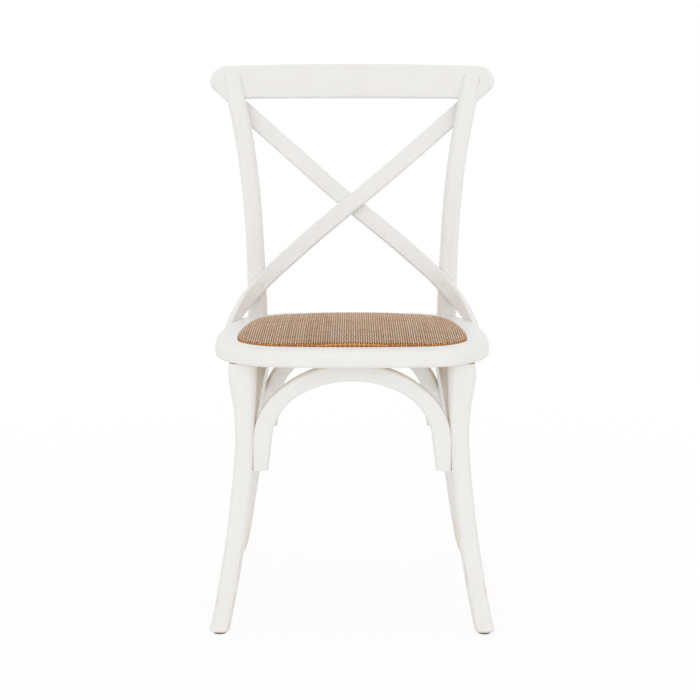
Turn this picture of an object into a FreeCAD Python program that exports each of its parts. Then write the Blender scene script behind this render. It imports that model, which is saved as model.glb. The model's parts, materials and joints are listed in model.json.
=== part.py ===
# Cross back dining chair with a bent frame and a woven drop-in seat.
#
# The chair stands on z = 0, faces -Y, and its width runs along X.
# Heights are above the floor. Depths in this file are measured from the middle of
# the seat frame, and at() moves them so that the whole chair is centred on the origin.
# Left and right are as someone standing in front of the chair sees them.

import FreeCAD, Part
import Sketcher
import math
import os
from collections import namedtuple

Vector = FreeCAD.Vector

doc = FreeCAD.newDocument("CrossBackChair")

# Driving dimensions, in millimetres and degrees
DRIVING_DIMENSIONS = [
    ("centre_shift", -46.668, "moves the seat frame forward so the whole chair is centred"),
    ("seat_top", 455, "top of the seat frame above the floor"),
    ("frame_thickness", 27, "seat frame, top to bottom"),
    ("frame_half_width", 221, "half the width of the seat frame"),
    ("frame_widest_at", -44, "depth at which the frame is widest"),
    ("frame_front", -212, "front edge of the frame"),
    ("frame_back", 218, "back edge of the frame"),
    ("frame_side_radius", 780, "bow of the frame's sides"),
    ("frame_front_radius", 1200, "bow of the frame's front"),
    ("frame_back_radius", 774, "bow of the frame's back"),
    ("front_corner_radius", 115, "front corners of the frame"),
    ("back_corner_radius", 113, "back corners of the frame"),
    ("frame_edge_radius", 8, "rounding of the frame's outer edges"),
    ("rim_width", 36, "visible rim round the seat pad"),
    ("rim_front_extra", 9, "how much wider the rim is at the front"),
    ("rim_edge_radius", 2.5, "rounding of the rim's inner edge"),
    ("ledge_width", 48, "ledge under the seat pad"),
    ("rebate_depth", 16, "depth of the rebate that holds the pad"),
    ("front_leg_top_width", 42.5, "front leg where it meets the frame"),
    ("front_leg_width", 31.5, "front leg below the knee"),
    ("rear_leg_width", 34, "rear leg beside the frame"),
    ("rear_leg_foot_width", 31, "rear leg at the floor"),
    ("leg_corner_share", 0.33, "corner radius of a leg as a share of its width"),
    ("tenon_radius", 11, "round tenon on top of a front leg"),
    ("tenon_length", 10, "length of that tenon"),
    ("foot_bevel", 2.5, "bevel round each foot"),
    ("post_top_bevel", 4, "bevel round the top of each post"),
    ("glide_height", 4, "glide under each foot"),
    ("glide_radius", 10.5, "radius of the glide"),
    ("glide_nail_radius", 1.4, "nail that holds the glide"),
    ("glide_nail_length", 16, "length of that nail"),
    ("arch_depth", 22, "arch, across its bend"),
    ("arch_edge_radius", 5.5, "rounding of the arch's edges"),
    ("crest_top", 890, "top of the crest rail at its middle"),
    ("crest_thickness", 22.5, "crest rail, front to back"),
    ("crest_radius", 750, "bend of the crest rail seen from above"),
    ("crest_front", 275, "front face of the crest rail at its middle, at reference height"),
    ("crest_reference", 860, "height at which that depth is taken"),
    ("crest_lean", 16, "lean of the crest rail from upright, degrees"),
    ("crest_lap", 12.5, "how deep the posts are let into the crest rail"),
    ("crest_edge_radius", 5, "rounding of the crest rail"),
    ("slat_width", 29.2, "cross slat, across its face"),
    ("slat_foot_width", 25, "cross slat at its foot"),
    ("slat_thickness", 10.5, "cross slat thickness"),
    ("slat_corner_radius", 3, "rounding of the slat's edges"),
    ("pad_gap", 0.8, "gap between the seat pad and the rim"),
    ("cover_thickness", 1.2, "woven cover"),
    ("board_thickness", 12, "plywood under the foam"),
    ("pad_crown_top", 466, "middle of the seat pad above the floor"),
    ("pad_crown_radius", 2850, "sphere that the pad's crown follows"),
    ("pad_roll_radius", 5.5, "rolled edge of the pad"),
]

sheet = doc.addObject("Spreadsheet::Sheet", "Sizes")
for row, (alias, value, note) in enumerate(DRIVING_DIMENSIONS, start=1):
    sheet.set(f"A{row}", alias)
    sheet.set(f"B{row}", str(value))
    sheet.setAlias(f"B{row}", alias)
    sheet.set(f"C{row}", note)
doc.recompute()


def size(alias):
    """The number in the sheet's cell with this alias."""
    return float(sheet.get(alias))


def value_of(expression):
    """The number that an expression on the sheet's cells gives."""
    return float(sheet.evalExpression(expression.replace("Sizes.", "")))


CENTRE_SHIFT = size("centre_shift")
SEAT_TOP = size("seat_top")
FRAME_UNDERSIDE = SEAT_TOP - size("frame_thickness")
LEDGE_TOP = SEAT_TOP - size("rebate_depth")
GLIDE_HEIGHT = size("glide_height")
FOOT_TOP = GLIDE_HEIGHT + size("foot_bevel")
SIDES = (("left", -1), ("right", 1))


def at(x, y, z):
    """A point given by its depth from the middle of the seat frame."""
    return Vector(x, y + CENTRE_SHIFT, z)


# Document helpers

def new_body(label):
    body = doc.addObject("PartDesign::Body", label)
    body.Label = label
    return body


def new_sketch(body, plane_role, offset=Vector(), rotation=FreeCAD.Rotation()):
    """A sketch on one of the body's own origin planes, moved by offset in that plane's axes."""
    sketch = body.newObject("Sketcher::SketchObject", f"{body.Name}_sketch")
    plane = next(f for f in body.Origin.OriginFeatures if f.Role == plane_role)
    sketch.AttachmentSupport = [(plane, "")]
    sketch.MapMode = "FlatFace"
    sketch.AttachmentOffset = FreeCAD.Placement(offset, rotation)
    return sketch


def bind_constraint(sketch, constraint, expression):
    """Add a size constraint to the sketch and tie it to the sheet."""
    index = sketch.addConstraint(constraint)
    sketch.setExpression(f"Constraints[{index}]", expression)


def direction_angle(start, end):
    return math.atan2(end.y - start.y, end.x - start.x)


def arc_through(start, middle, end):
    """An arc of a circle through three points of a sketch, anticlockwise as sketches keep them."""
    circle = Part.Circle(start, middle, end)
    if circle.Axis.z < 0:
        start, end = end, start
    first = direction_angle(circle.Center, start)
    last = direction_angle(circle.Center, end)
    if last < first:
        last += 2 * math.pi
    level_circle = Part.Circle(circle.Center, Vector(0, 0, 1), circle.Radius)
    return Part.ArcOfCircle(level_circle, first, last)


def end_points(edge):
    return ((1, edge.StartPoint), (2, edge.EndPoint))


def draw_loop(sketch, edges):
    """Draw a closed loop of lines and curves and join each one's end to the next."""
    sketch.addGeometry(edges, False)
    for index, edge in enumerate(edges):
        following = (index + 1) % len(edges)
        pairs = [
            (first_point.distanceToPoint(second_point), first_end, second_end)
            for first_end, first_point in end_points(edge)
            for second_end, second_point in end_points(edges[following])
        ]
        _, first_end, second_end = min(pairs)
        sketch.addConstraint(
            Sketcher.Constraint("Coincident", index, first_end, following, second_end))


def pad(body, sketch, length, symmetric=False, reverse=False):
    """Pad a sketch by a length given as an expression."""
    feature = body.newObject("PartDesign::Pad", f"{body.Name}_pad")
    feature.Profile = sketch
    feature.SideType = "Symmetric" if symmetric else "One side"
    feature.Reversed = reverse
    feature.setExpression("Length", length)
    return feature


def pocket(body, sketch, length, reverse=False):
    """Pocket a sketch by a length given as an expression."""
    feature = body.newObject("PartDesign::Pocket", f"{body.Name}_pocket")
    feature.Profile = sketch
    feature.Reversed = reverse
    feature.setExpression("Length", length)
    return feature


def fillet_body(body, base, edge_names, radius):
    feature = body.newObject("PartDesign::Fillet", f"{body.Name}_fillet")
    feature.Base = (base, edge_names)
    feature.setExpression("Radius", radius)
    return feature


def edges_where(shape, test):
    """Names of the edges whose middle point passes a test."""
    names = []
    for index, edge in enumerate(shape.Edges, start=1):
        middle = edge.valueAt((edge.FirstParameter + edge.LastParameter) / 2)
        if test(edge, middle):
            names.append(f"Edge{index}")
    return names


def combine(kind, label, base, tool):
    feature = doc.addObject(kind, label)
    feature.Label = label
    feature.Base = base
    feature.Tool = tool
    return feature


def cut(label, base, tools):
    """The base with every tool taken away, one after another."""
    for step, tool in enumerate(tools, start=1):
        last = step == len(tools)
        base = combine("Part::Cut", label if last else f"{label}_cut_{step}", base, tool)
    return base


def plain_feature(label, shape):
    feature = doc.addObject("Part::Feature", label)
    feature.Label = label
    feature.Shape = shape
    return feature


# Seat frame outline: eight arcs that meet without a corner

def circle_crossing(first_centre, first_radius, second_centre, second_radius, side):
    """One of the two points where two circles cross, in the seat's plane."""
    between = second_centre - first_centre
    distance = between.Length
    along = (first_radius ** 2 - second_radius ** 2 + distance ** 2) / (2 * distance)
    across = math.sqrt(first_radius ** 2 - along ** 2)
    direction = between / distance
    sideways = Vector(-direction.y, direction.x, 0) * side
    return first_centre + direction * along + sideways * across


def frame_outline(inset):
    """Arcs of the frame's outline, each with the sheet cell of its radius, drawn inset mm inside.

    Inside the frame, everything stands further back at the front, where the rim is wider.
    """
    front_extra = size("rim_front_extra") if inset > 0 else 0
    side_centre = Vector(size("frame_half_width") - size("frame_side_radius"), size("frame_widest_at"), 0)
    back_centre = Vector(0, size("frame_back") - size("frame_back_radius"), 0)
    front_centre = Vector(0, size("frame_front") + size("frame_front_radius") + front_extra, 0)
    back_corner = circle_crossing(
        side_centre, size("frame_side_radius") - size("back_corner_radius"),
        back_centre, size("frame_back_radius") - size("back_corner_radius"), 1)
    front_corner = circle_crossing(
        side_centre, size("frame_side_radius") - size("front_corner_radius"),
        front_centre, size("frame_front_radius") - size("front_corner_radius"), -1)
    side_start = direction_angle(side_centre, front_corner)
    side_end = direction_angle(side_centre, back_corner)
    back_start = direction_angle(back_centre, back_corner)
    front_end = direction_angle(front_centre, front_corner)

    def arc(centre, cell, start, end):
        circle = Part.Circle(centre, Vector(0, 0, 1), size(cell) - inset)
        return Part.ArcOfCircle(circle, start, end), cell

    def mirrored(centre):
        return Vector(-centre.x, centre.y, 0)

    return [
        arc(side_centre, "frame_side_radius", side_start, side_end),
        arc(back_corner, "back_corner_radius", side_end, back_start),
        arc(back_centre, "frame_back_radius", back_start, math.pi - back_start),
        arc(mirrored(back_corner), "back_corner_radius", math.pi - back_start, math.pi - side_end),
        arc(mirrored(side_centre), "frame_side_radius", math.pi - side_end, math.pi - side_start),
        arc(mirrored(front_corner), "front_corner_radius", math.pi - side_start, math.pi - front_end),
        arc(front_centre, "frame_front_radius", math.pi - front_end, 2 * math.pi + front_end),
        arc(front_corner, "front_corner_radius", front_end, side_start),
    ]


def draw_frame_outline(body, height, inset="0"):
    """Sketch the outline at a height, inset by an expression."""
    sketch = new_sketch(body, "XY_Plane", at(0, 0, height))
    arcs = frame_outline(value_of(inset))
    draw_loop(sketch, [edge for edge, _ in arcs])
    for index, (edge, cell) in enumerate(arcs):
        bind_constraint(sketch, Sketcher.Constraint("Radius", index, edge.Radius), f"Sizes.{cell} - ({inset})")
    return sketch


def outline_edges_at(height):
    """A test for the edges that lie level at this height."""
    def test(edge, middle):
        box = edge.BoundBox
        return abs(middle.z - height) < 0.01 and box.ZLength < 0.01
    return test


def build_seat_frame():
    body = new_body("seat_frame_blank")
    outline = draw_frame_outline(body, FRAME_UNDERSIDE)
    block = pad(body, outline, "Sizes.frame_thickness")
    doc.recompute()
    outer_edges = edges_where(
        block.Shape, lambda edge, middle: edge.BoundBox.ZLength < 0.01)
    rounded = fillet_body(body, block, outer_edges, "Sizes.frame_edge_radius")
    doc.recompute()
    rebate = draw_frame_outline(body, SEAT_TOP, "Sizes.rim_width")
    pocket(body, rebate, "Sizes.rebate_depth")
    doc.recompute()
    opening = draw_frame_outline(body, SEAT_TOP, "Sizes.rim_width + Sizes.ledge_width")
    last = pocket(body, opening, "Sizes.frame_thickness + 1")
    doc.recompute()
    rim_reach = size("frame_half_width") - size("rim_width") + 1
    inner_edges = edges_where(
        last.Shape,
        lambda edge, middle: outline_edges_at(SEAT_TOP)(edge, middle) and abs(middle.x) < rim_reach
        and edge.Curve.Radius in rim_edge_radii(last.Shape))
    fillet_body(body, last, inner_edges, "Sizes.rim_edge_radius")
    doc.recompute()
    return body


def rim_edge_radii(shape):
    """Radii of the top edges that belong to the rebate rather than to the outer rounding."""
    wanted = [edge.Radius for edge, _ in frame_outline(size("rim_width"))]
    found = set()
    for edge in shape.Edges:
        if hasattr(edge.Curve, "Radius") and any(abs(edge.Curve.Radius - radius) < 0.01 for radius in wanted):
            found.add(edge.Curve.Radius)
    return found


# Legs and posts: lofts through level, rounded sections

Section = namedtuple("Section", "z x y share")

# share 0 is the slim width below the knee and 1 the full width at the top
FRONT_LEG = [
    Section(FOOT_TOP, 210, -195, 0),
    Section(44, 202, -186, 0),
    Section(110, 190.5, -173, 0),
    Section(176, 181, -162.5, 0),
    Section(241, 174, -155.5, 0),
    Section(306, 169.5, -151, 0),
    Section(370, 170.5, -150, 0.6),
    Section(FRAME_UNDERSIDE, 172, -150, 1),
]

# share 0 is the width at the floor and 1 the width beside the seat frame
REAR_LEG = [
    Section(FOOT_TOP, 212.5, 262, 0),
    Section(60, 199.5, 249, 0.25),
    Section(125, 189.5, 232, 0.6),
    Section(200, 179, 212, 1),
    Section(300, 170.5, 190, 1),
    Section(400, 166, 176, 1),
    Section(470, 165.6, 173, 0.8),
    Section(550, 168, 178, 0),
    Section(650, 174.4, 196, 0),
    Section(720, 182.7, 214, 0.1),
    Section(780, 193, 231, 0.4),
    Section(830, 203.6, 245.5, 0.5),
    Section(869, 212.6, 256.5, 0.5),
]


def draw_rounded_square(sketch, width, corner):
    """A square with rounded corners about the sketch's origin, sized by two expressions."""
    half = value_of(width) / 2
    radius = value_of(corner)
    inner = half - radius
    axis = Vector(0, 0, 1)
    corners = [(inner, inner, 0), (-inner, inner, 90), (-inner, -inner, 180), (inner, -inner, 270)]
    edges = []
    for x, y, start in corners:
        circle = Part.Circle(Vector(x, y, 0), axis, radius)
        edges.append(Part.ArcOfCircle(circle, math.radians(start), math.radians(start + 90)))
    edges.insert(1, Part.LineSegment(Vector(inner, half, 0), Vector(-inner, half, 0)))
    edges.insert(3, Part.LineSegment(Vector(-half, inner, 0), Vector(-half, -inner, 0)))
    edges.insert(5, Part.LineSegment(Vector(-inner, -half, 0), Vector(inner, -half, 0)))
    edges.insert(7, Part.LineSegment(Vector(half, -inner, 0), Vector(half, inner, 0)))
    sketch.addGeometry(edges, False)
    for index in range(8):
        following = (index + 1) % 8
        sketch.addConstraint(Sketcher.Constraint("Tangent", index, 2, following, 1))
    for line in (1, 5):
        sketch.addConstraint(Sketcher.Constraint("Horizontal", line))
    for line in (3, 7):
        sketch.addConstraint(Sketcher.Constraint("Vertical", line))
    for arc in (2, 4, 6):
        sketch.addConstraint(Sketcher.Constraint("Equal", 0, arc))
    sketch.addConstraint(Sketcher.Constraint("Symmetric", 0, 3, 4, 3, -1, 1))
    bind_constraint(sketch, Sketcher.Constraint("Radius", 0, radius), corner)
    spread = f"({width}) - 2 * ({corner})"
    bind_constraint(sketch, Sketcher.Constraint("DistanceX", 2, 3, 0, 3, 2 * inner), spread)
    bind_constraint(sketch, Sketcher.Constraint("DistanceY", 6, 3, 0, 3, 2 * inner), spread)


def loft_through(body, sketches, ruled=False):
    loft = body.newObject("PartDesign::AdditiveLoft", f"{body.Name}_loft")
    loft.Profile = sketches[0]
    loft.Sections = sketches[1:]
    loft.Ruled = ruled
    return loft


def build_bent_bar(label, sections, side, slim_cell, full_cell, top_bevel=None):
    """A bent bar through level sections, mirrored by side, with a bevel round its foot.

    top_bevel is the sheet's expression for a bevel round its top, where it has one.
    """
    body = new_body(label)

    def draw_section(section, height, taken_off):
        sketch = new_sketch(body, "XY_Plane", at(side * section.x, section.y, height))
        width = f"Sizes.{slim_cell} + {section.share} * (Sizes.{full_cell} - Sizes.{slim_cell})"
        draw_rounded_square(
            sketch, f"{width} - 2 * {taken_off}", f"({width}) * Sizes.leg_corner_share - {taken_off}")
        return sketch

    foot = sections[0]
    loft_through(body, [
        draw_section(foot, GLIDE_HEIGHT, "Sizes.foot_bevel"), draw_section(foot, foot.z, "0")], ruled=True)
    doc.recompute()
    loft_through(body, [draw_section(section, section.z, "0") for section in sections])
    doc.recompute()
    if top_bevel:
        top = sections[-1]
        loft_through(body, [
            draw_section(top, top.z, "0"), draw_section(top, top.z + value_of(top_bevel), top_bevel)], ruled=True)
        doc.recompute()
    return body


def build_front_leg(name, side):
    body = build_bent_bar(f"front_leg_{name}_blank", FRONT_LEG, side, "front_leg_width", "front_leg_top_width")
    top = FRONT_LEG[-1]
    sketch = new_sketch(body, "XY_Plane", at(side * top.x, top.y, FRAME_UNDERSIDE))
    sketch.addGeometry(Part.Circle(Vector(), Vector(0, 0, 1), size("tenon_radius")), False)
    sketch.addConstraint(Sketcher.Constraint("Coincident", 0, 3, -1, 1))
    bind_constraint(sketch, Sketcher.Constraint("Radius", 0, size("tenon_radius")), "Sizes.tenon_radius")
    pad(body, sketch, "Sizes.tenon_length")
    doc.recompute()
    return body


def build_rear_leg(name, side):
    return build_bent_bar(
        f"rear_leg_{name}_blank", REAR_LEG, side, "rear_leg_foot_width", "rear_leg_width", "Sizes.post_top_bevel")


def centre_of(sections, height):
    """Distance from the middle plane, and depth, of a bent bar's centre at a height."""
    for low, high in zip(sections, sections[1:]):
        if low.z <= height <= high.z:
            share = (height - low.z) / (high.z - low.z)
            return low.x + share * (high.x - low.x), low.y + share * (high.y - low.y)
    raise ValueError(f"no section at {height}")


# Arches under the seat

ArchShape = namedtuple(
    "ArchShape",
    "half_span foot crown outer_radius outer_angle inner_crown inner_foot inner_radius inner_angle lean")

# The arches across the front and back stand lower than the ones along the sides
CROSS_ARCH = ArchShape(
    half_span=157, foot=256, crown=429, outer_radius=176, outer_angle=46.5,
    inner_crown=399.5, inner_foot=133, inner_radius=164, inner_angle=30.2, lean=7)
SIDE_ARCH = ArchShape(
    half_span=152, foot=324, crown=430, outer_radius=209, outer_angle=38,
    inner_crown=401, inner_foot=129.5, inner_radius=190, inner_angle=34, lean=8)


def arch_edges(shape):
    """Closed outline of an arch in its own plane: arcs over the crown and shoulders, straight feet."""
    def on_circle(centre, radius, degrees):
        angle = math.radians(degrees)
        return Vector(centre.x + radius * math.sin(angle), centre.y + radius * math.cos(angle), 0)

    def arc(centre, radius, start, end):
        middle = on_circle(centre, radius, (start + end) / 2)
        return arc_through(on_circle(centre, radius, start), middle, on_circle(centre, radius, end))

    def mirrored(edge_points):
        return [Vector(-point.x, point.y, 0) for point in reversed(edge_points)]

    outer_centre = Vector(0, shape.crown - shape.outer_radius, 0)
    turn = math.radians(shape.outer_angle)
    shoulder_radius = (shape.half_span - shape.outer_radius * math.sin(turn)) / (1 - math.sin(turn))
    shoulder_start = on_circle(outer_centre, shape.outer_radius, shape.outer_angle)
    shoulder_centre = shoulder_start - Vector(math.sin(turn), math.cos(turn), 0) * shoulder_radius

    # The inner shoulder and the straight foot below it share out the width and height that are left
    inner_centre = Vector(0, shape.inner_crown - shape.inner_radius, 0)
    inner_start = on_circle(inner_centre, shape.inner_radius, shape.inner_angle)
    first = math.radians(shape.inner_angle)
    last = math.radians(90 - shape.lean)
    across = shape.inner_foot - inner_start.x
    down = inner_start.y - shape.foot
    arc_across = math.sin(last) - math.sin(first)
    arc_down = math.cos(first) - math.cos(last)
    determinant = arc_across * math.sin(last) - arc_down * math.cos(last)
    inner_shoulder = (across * math.sin(last) - down * math.cos(last)) / determinant
    inner_shoulder_centre = inner_start - Vector(math.sin(first), math.cos(first), 0) * inner_shoulder
    inner_end_angle = 90 - shape.lean

    outer_foot = Vector(shape.half_span, shape.foot, 0)
    inner_foot = Vector(shape.inner_foot, shape.foot, 0)
    outer_shoulder = [
        on_circle(shoulder_centre, shoulder_radius, angle)
        for angle in (shape.outer_angle, (shape.outer_angle + 90) / 2, 90)]
    inner_shoulder_points = [
        on_circle(inner_shoulder_centre, inner_shoulder, angle)
        for angle in (inner_end_angle, (inner_end_angle + shape.inner_angle) / 2, shape.inner_angle)]
    return [
        arc(outer_centre, shape.outer_radius, -shape.outer_angle, shape.outer_angle),
        arc_through(*outer_shoulder),
        Part.LineSegment(outer_shoulder[2], outer_foot),
        Part.LineSegment(outer_foot, inner_foot),
        Part.LineSegment(inner_foot, inner_shoulder_points[0]),
        arc_through(*inner_shoulder_points),
        arc(inner_centre, shape.inner_radius, shape.inner_angle, -shape.inner_angle),
        arc_through(*mirrored(inner_shoulder_points)),
        Part.LineSegment(*mirrored([inner_foot, inner_shoulder_points[0]])),
        Part.LineSegment(*mirrored([outer_foot, inner_foot])),
        Part.LineSegment(*mirrored([outer_shoulder[2], outer_foot])),
        arc_through(*mirrored(outer_shoulder)),
    ]


def build_arch(label, shape, plane_role, anchor, lean=0.0):
    """A bent arch with its long edges rounded.

    It stands on one of its body's upright planes, turned by lean degrees about that plane's
    level axis. anchor is a point of the leaning plane in the plane's own axes.
    """
    body = new_body(label)
    rotation = FreeCAD.Rotation(Vector(1, 0, 0), lean)
    offset = anchor - rotation.multVec(Vector(0, anchor.y, 0))
    sketch = new_sketch(body, plane_role, offset, rotation)
    draw_loop(sketch, arch_edges(shape))
    band = pad(body, sketch, "Sizes.arch_depth", symmetric=True)
    doc.recompute()
    to_sketch = sketch.Placement.inverse()

    def on_flat_side(edge, middle):
        local = to_sketch.multVec(middle)
        return abs(abs(local.z) - size("arch_depth") / 2) < 0.01 and local.y > shape.foot + 0.01

    fillet_body(body, band, edges_where(band.Shape, on_flat_side), "Sizes.arch_edge_radius")
    doc.recompute()
    return body


# Crest rail

# Right half of the rail seen from the front, from the middle of its top clockwise round its end:
# radius and turn of each arc in degrees, or a length where it is straight. A negative turn bends
# the other way, where the low lobe at the end meets the flat bottom.
CREST_HALF_OUTLINE = [(7500, 1.686), (29, 88.314), (15.8, 48), (30.4, None), (9, 87), (12, -45)]


def walk(start, steps):
    """Edges along a path that starts level towards +X, and the point where it ends."""
    edges = []
    point = start
    heading = 0.0
    for amount, turn in steps:
        forward = Vector(math.cos(heading), math.sin(heading), 0)
        if turn is None:
            end = point + forward * amount
            edges.append(Part.LineSegment(point, end))
        else:
            bend = math.copysign(1, turn)
            centre = point + Vector(forward.y, -forward.x, 0) * amount * bend

            def swung(degrees):
                return centre + FreeCAD.Rotation(Vector(0, 0, 1), -degrees).multVec(point - centre)

            end = swung(turn)
            edges.append(arc_through(point, swung(turn / 2), end))
            heading -= math.radians(turn)
        point = end
    return edges, point


def mirrored_edge(edge):
    """The same edge on the other side of a sketch's upright axis."""
    start, end = (Vector(-p.x, p.y, 0) for p in (edge.StartPoint, edge.EndPoint))
    if isinstance(edge, Part.LineSegment):
        return Part.LineSegment(end, start)
    middle = edge.value((edge.FirstParameter + edge.LastParameter) / 2)
    return arc_through(start, Vector(-middle.x, middle.y, 0), end)


def crest_outline():
    """Front view of the crest rail: crowned top, rounded ends with a low lobe, flat bottom."""
    half, bottom = walk(Vector(0, size("crest_top"), 0), CREST_HALF_OUTLINE)
    crown_end = half[0].StartPoint if half[0].StartPoint.x > 1 else half[0].EndPoint
    crown = arc_through(Vector(-crown_end.x, crown_end.y, 0), Vector(0, size("crest_top"), 0), crown_end)
    flat_bottom = Part.LineSegment(bottom, Vector(-bottom.x, bottom.y, 0))
    return [crown] + half[1:] + [flat_bottom] + [mirrored_edge(edge) for edge in reversed(half[1:])]


def build_crest_band(label, front_offset, thickness):
    """A leaning band bent like the crest rail, front_offset behind its front face."""
    body = new_body(label)
    rotation = FreeCAD.Rotation(Vector(1, 0, 0), -size("crest_lean"))
    sketch = new_sketch(body, "XY_Plane", at(0, size("crest_front"), size("crest_reference")), rotation)
    radius = size("crest_radius")
    near = radius + front_offset
    far = near + thickness
    reach = math.radians(21.5)

    def polar(distance, angle):
        return Vector(distance * math.sin(angle), distance * math.cos(angle) - radius, 0)

    draw_loop(sketch, [
        arc_through(polar(near, reach), polar(near, 0), polar(near, -reach)),
        Part.LineSegment(polar(near, -reach), polar(far, -reach)),
        arc_through(polar(far, -reach), polar(far, 0), polar(far, reach)),
        Part.LineSegment(polar(far, reach), polar(near, reach)),
    ])
    pad(body, sketch, "120", symmetric=True)
    doc.recompute()
    return body


def build_crest_rail():
    band = build_crest_band("crest_band", 0, size("crest_thickness"))
    outline = new_body("crest_outline")
    sketch = new_sketch(outline, "XZ_Plane", Vector(0, 0, -(size("crest_front") + CENTRE_SHIFT)))
    draw_loop(sketch, crest_outline())
    pad(outline, sketch, "250", symmetric=True)
    doc.recompute()
    rail = combine("Part::Common", "crest_rail_square", band, outline)
    doc.recompute()
    bent_faces = sorted(rail.Shape.Faces, key=lambda face: face.Area)[-2:]
    bent_edges = [edge for face in bent_faces for edge in face.Edges]
    radius = size("crest_edge_radius")
    rounded = doc.addObject("Part::Fillet", "crest_rail_blank")
    rounded.Base = rail
    rounded.Edges = [
        (index, radius, radius)
        for index, edge in enumerate(rail.Shape.Edges, start=1)
        if any(edge.isSame(bent) for bent in bent_edges)]
    doc.recompute()
    return rounded


# Cross slats: twisted laths lofted through sections square to their path

SlatStation = namedtuple("SlatStation", "x y z yaw tilt width_share")

# From the screwed end behind one post, over the crossing, past the front of the other post,
# and down to the outside of the seat frame. The high end has x positive here.
SLAT_PATH = [
    SlatStation(203, 262, 819.5, 0, 17, 0),
    SlatStation(194, 259.5, 811.9, 0, 17, 0),
    SlatStation(180, 255.5, 800, 0, 18, 0),
    SlatStation(120, 238.5, 748.3, 0, 20, 0),
    SlatStation(60, 221.5, 697, 0, 22, 0),
    SlatStation(0, 204.5, 648, 0, 22, 0),
    SlatStation(-60, 185.5, 600.6, 0, 21, 0),
    SlatStation(-110, 169.5, 558.5, 3, 17, 0.15),
    SlatStation(-140.6, 159.5, 531.3, 10, 12, 0.3),
    SlatStation(-160, 154, 512, 22, 9, 0.4),
    SlatStation(-176, 146, 494.5, 40, 8, 0.5),
    SlatStation(-189.5, 134, 478, 57, 6, 0.75),
    SlatStation(-199.5, 122.5, 463, 69, 3, 0.9),
    SlatStation(-207, 112, 449, 74, 0, 1),
    SlatStation(-209.5, 102.5, 435.5, 75, 0, 1),
]
SLAT_CROSSING = 5
CROSSING_REACH = 130


def slat_frames(high_side, layer):
    """Centre, across, and face direction at each station of a slat.

    high_side is the side of its high end and layer is -1 for the front slat, 1 for the back one.
    The two laths bend apart by half a thickness each where they cross.
    """
    centres = []
    faces = []
    for station in SLAT_PATH:
        yaw = math.radians(station.yaw)
        tilt = math.radians(station.tilt)
        face = Vector(high_side * math.sin(yaw) * math.cos(tilt), -math.cos(yaw) * math.cos(tilt), math.sin(tilt))
        bend = 0.0
        if abs(station.x) < CROSSING_REACH:
            bend = math.cos(math.pi * station.x / (2 * CROSSING_REACH)) ** 2
        spread = -layer * bend * size("slat_thickness") / 2
        centres.append(at(high_side * station.x, station.y, station.z) + face * spread)
        faces.append(face)
    frames = []
    for index, centre in enumerate(centres):
        before = centres[max(index - 1, 0)]
        after = centres[min(index + 1, len(centres) - 1)]
        along = (after - before).normalize()
        across = faces[index].cross(along).normalize()
        outward = along.cross(across).normalize()
        frames.append((centre, across, outward))
    return frames


def rounded_section(centre, across, outward, width, thickness, corner):
    """A rounded rectangle as one closed wire, square to a slat's path."""
    def point(u, v):
        return centre + across * u + outward * v

    half_width = width / 2
    half_thickness = thickness / 2
    slant = corner * (1 - math.sqrt(0.5))
    edges = []
    for u_sign, v_sign in ((1, 1), (-1, 1), (-1, -1), (1, -1)):
        u_side = point(u_sign * half_width, v_sign * (half_thickness - corner))
        v_side = point(u_sign * (half_width - corner), v_sign * half_thickness)
        middle = point(u_sign * (half_width - slant), v_sign * (half_thickness - slant))
        start, end = (u_side, v_side) if u_sign == v_sign else (v_side, u_side)
        edges.append(Part.Arc(start, middle, end))
    closed = []
    for index, corner_arc in enumerate(edges):
        following = edges[(index + 1) % len(edges)]
        closed.append(corner_arc.toShape())
        closed.append(Part.LineSegment(corner_arc.EndPoint, following.StartPoint).toShape())
    return Part.Wire(closed)


def build_slat(label, high_side, layer):
    sections = []
    for station, (centre, across, outward) in zip(SLAT_PATH, slat_frames(high_side, layer)):
        narrowing = station.width_share * (size("slat_width") - size("slat_foot_width"))
        sections.append(rounded_section(
            centre, across, outward, size("slat_width") - narrowing,
            size("slat_thickness"), size("slat_corner_radius")))
    return plain_feature(label, Part.makeLoft(sections, True, False))


# Seat pad: plywood board, foam and woven cover

def build_pad_block(label, inset, crown_top, roll_radius):
    """A crowned block that fills the rebate down to the ledge, with its upper edge rolled over."""
    body = new_body(f"{label}_outline")
    sketch = draw_frame_outline(body, LEDGE_TOP, inset)
    pad(body, sketch, "40")
    sphere = doc.addObject("Part::Sphere", f"{label}_crown")
    radius = size("pad_crown_radius")
    sphere.Radius = radius
    sphere.Placement = FreeCAD.Placement(at(0, 0, crown_top - radius), FreeCAD.Rotation())
    crowned = combine("Part::Common", f"{label}_crowned", body, sphere)
    doc.recompute()
    top_face = next(face for face in crowned.Shape.Faces if abs(getattr(face.Surface, "Radius", 0) - radius) < 0.01)
    rolled = doc.addObject("Part::Fillet", f"{label}_block")
    rolled.Base = crowned
    rolled.Edges = [
        (index, roll_radius, roll_radius)
        for index, edge in enumerate(crowned.Shape.Edges, start=1)
        if any(edge.isSame(top_edge) for top_edge in top_face.Edges)]
    doc.recompute()
    return rolled


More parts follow.
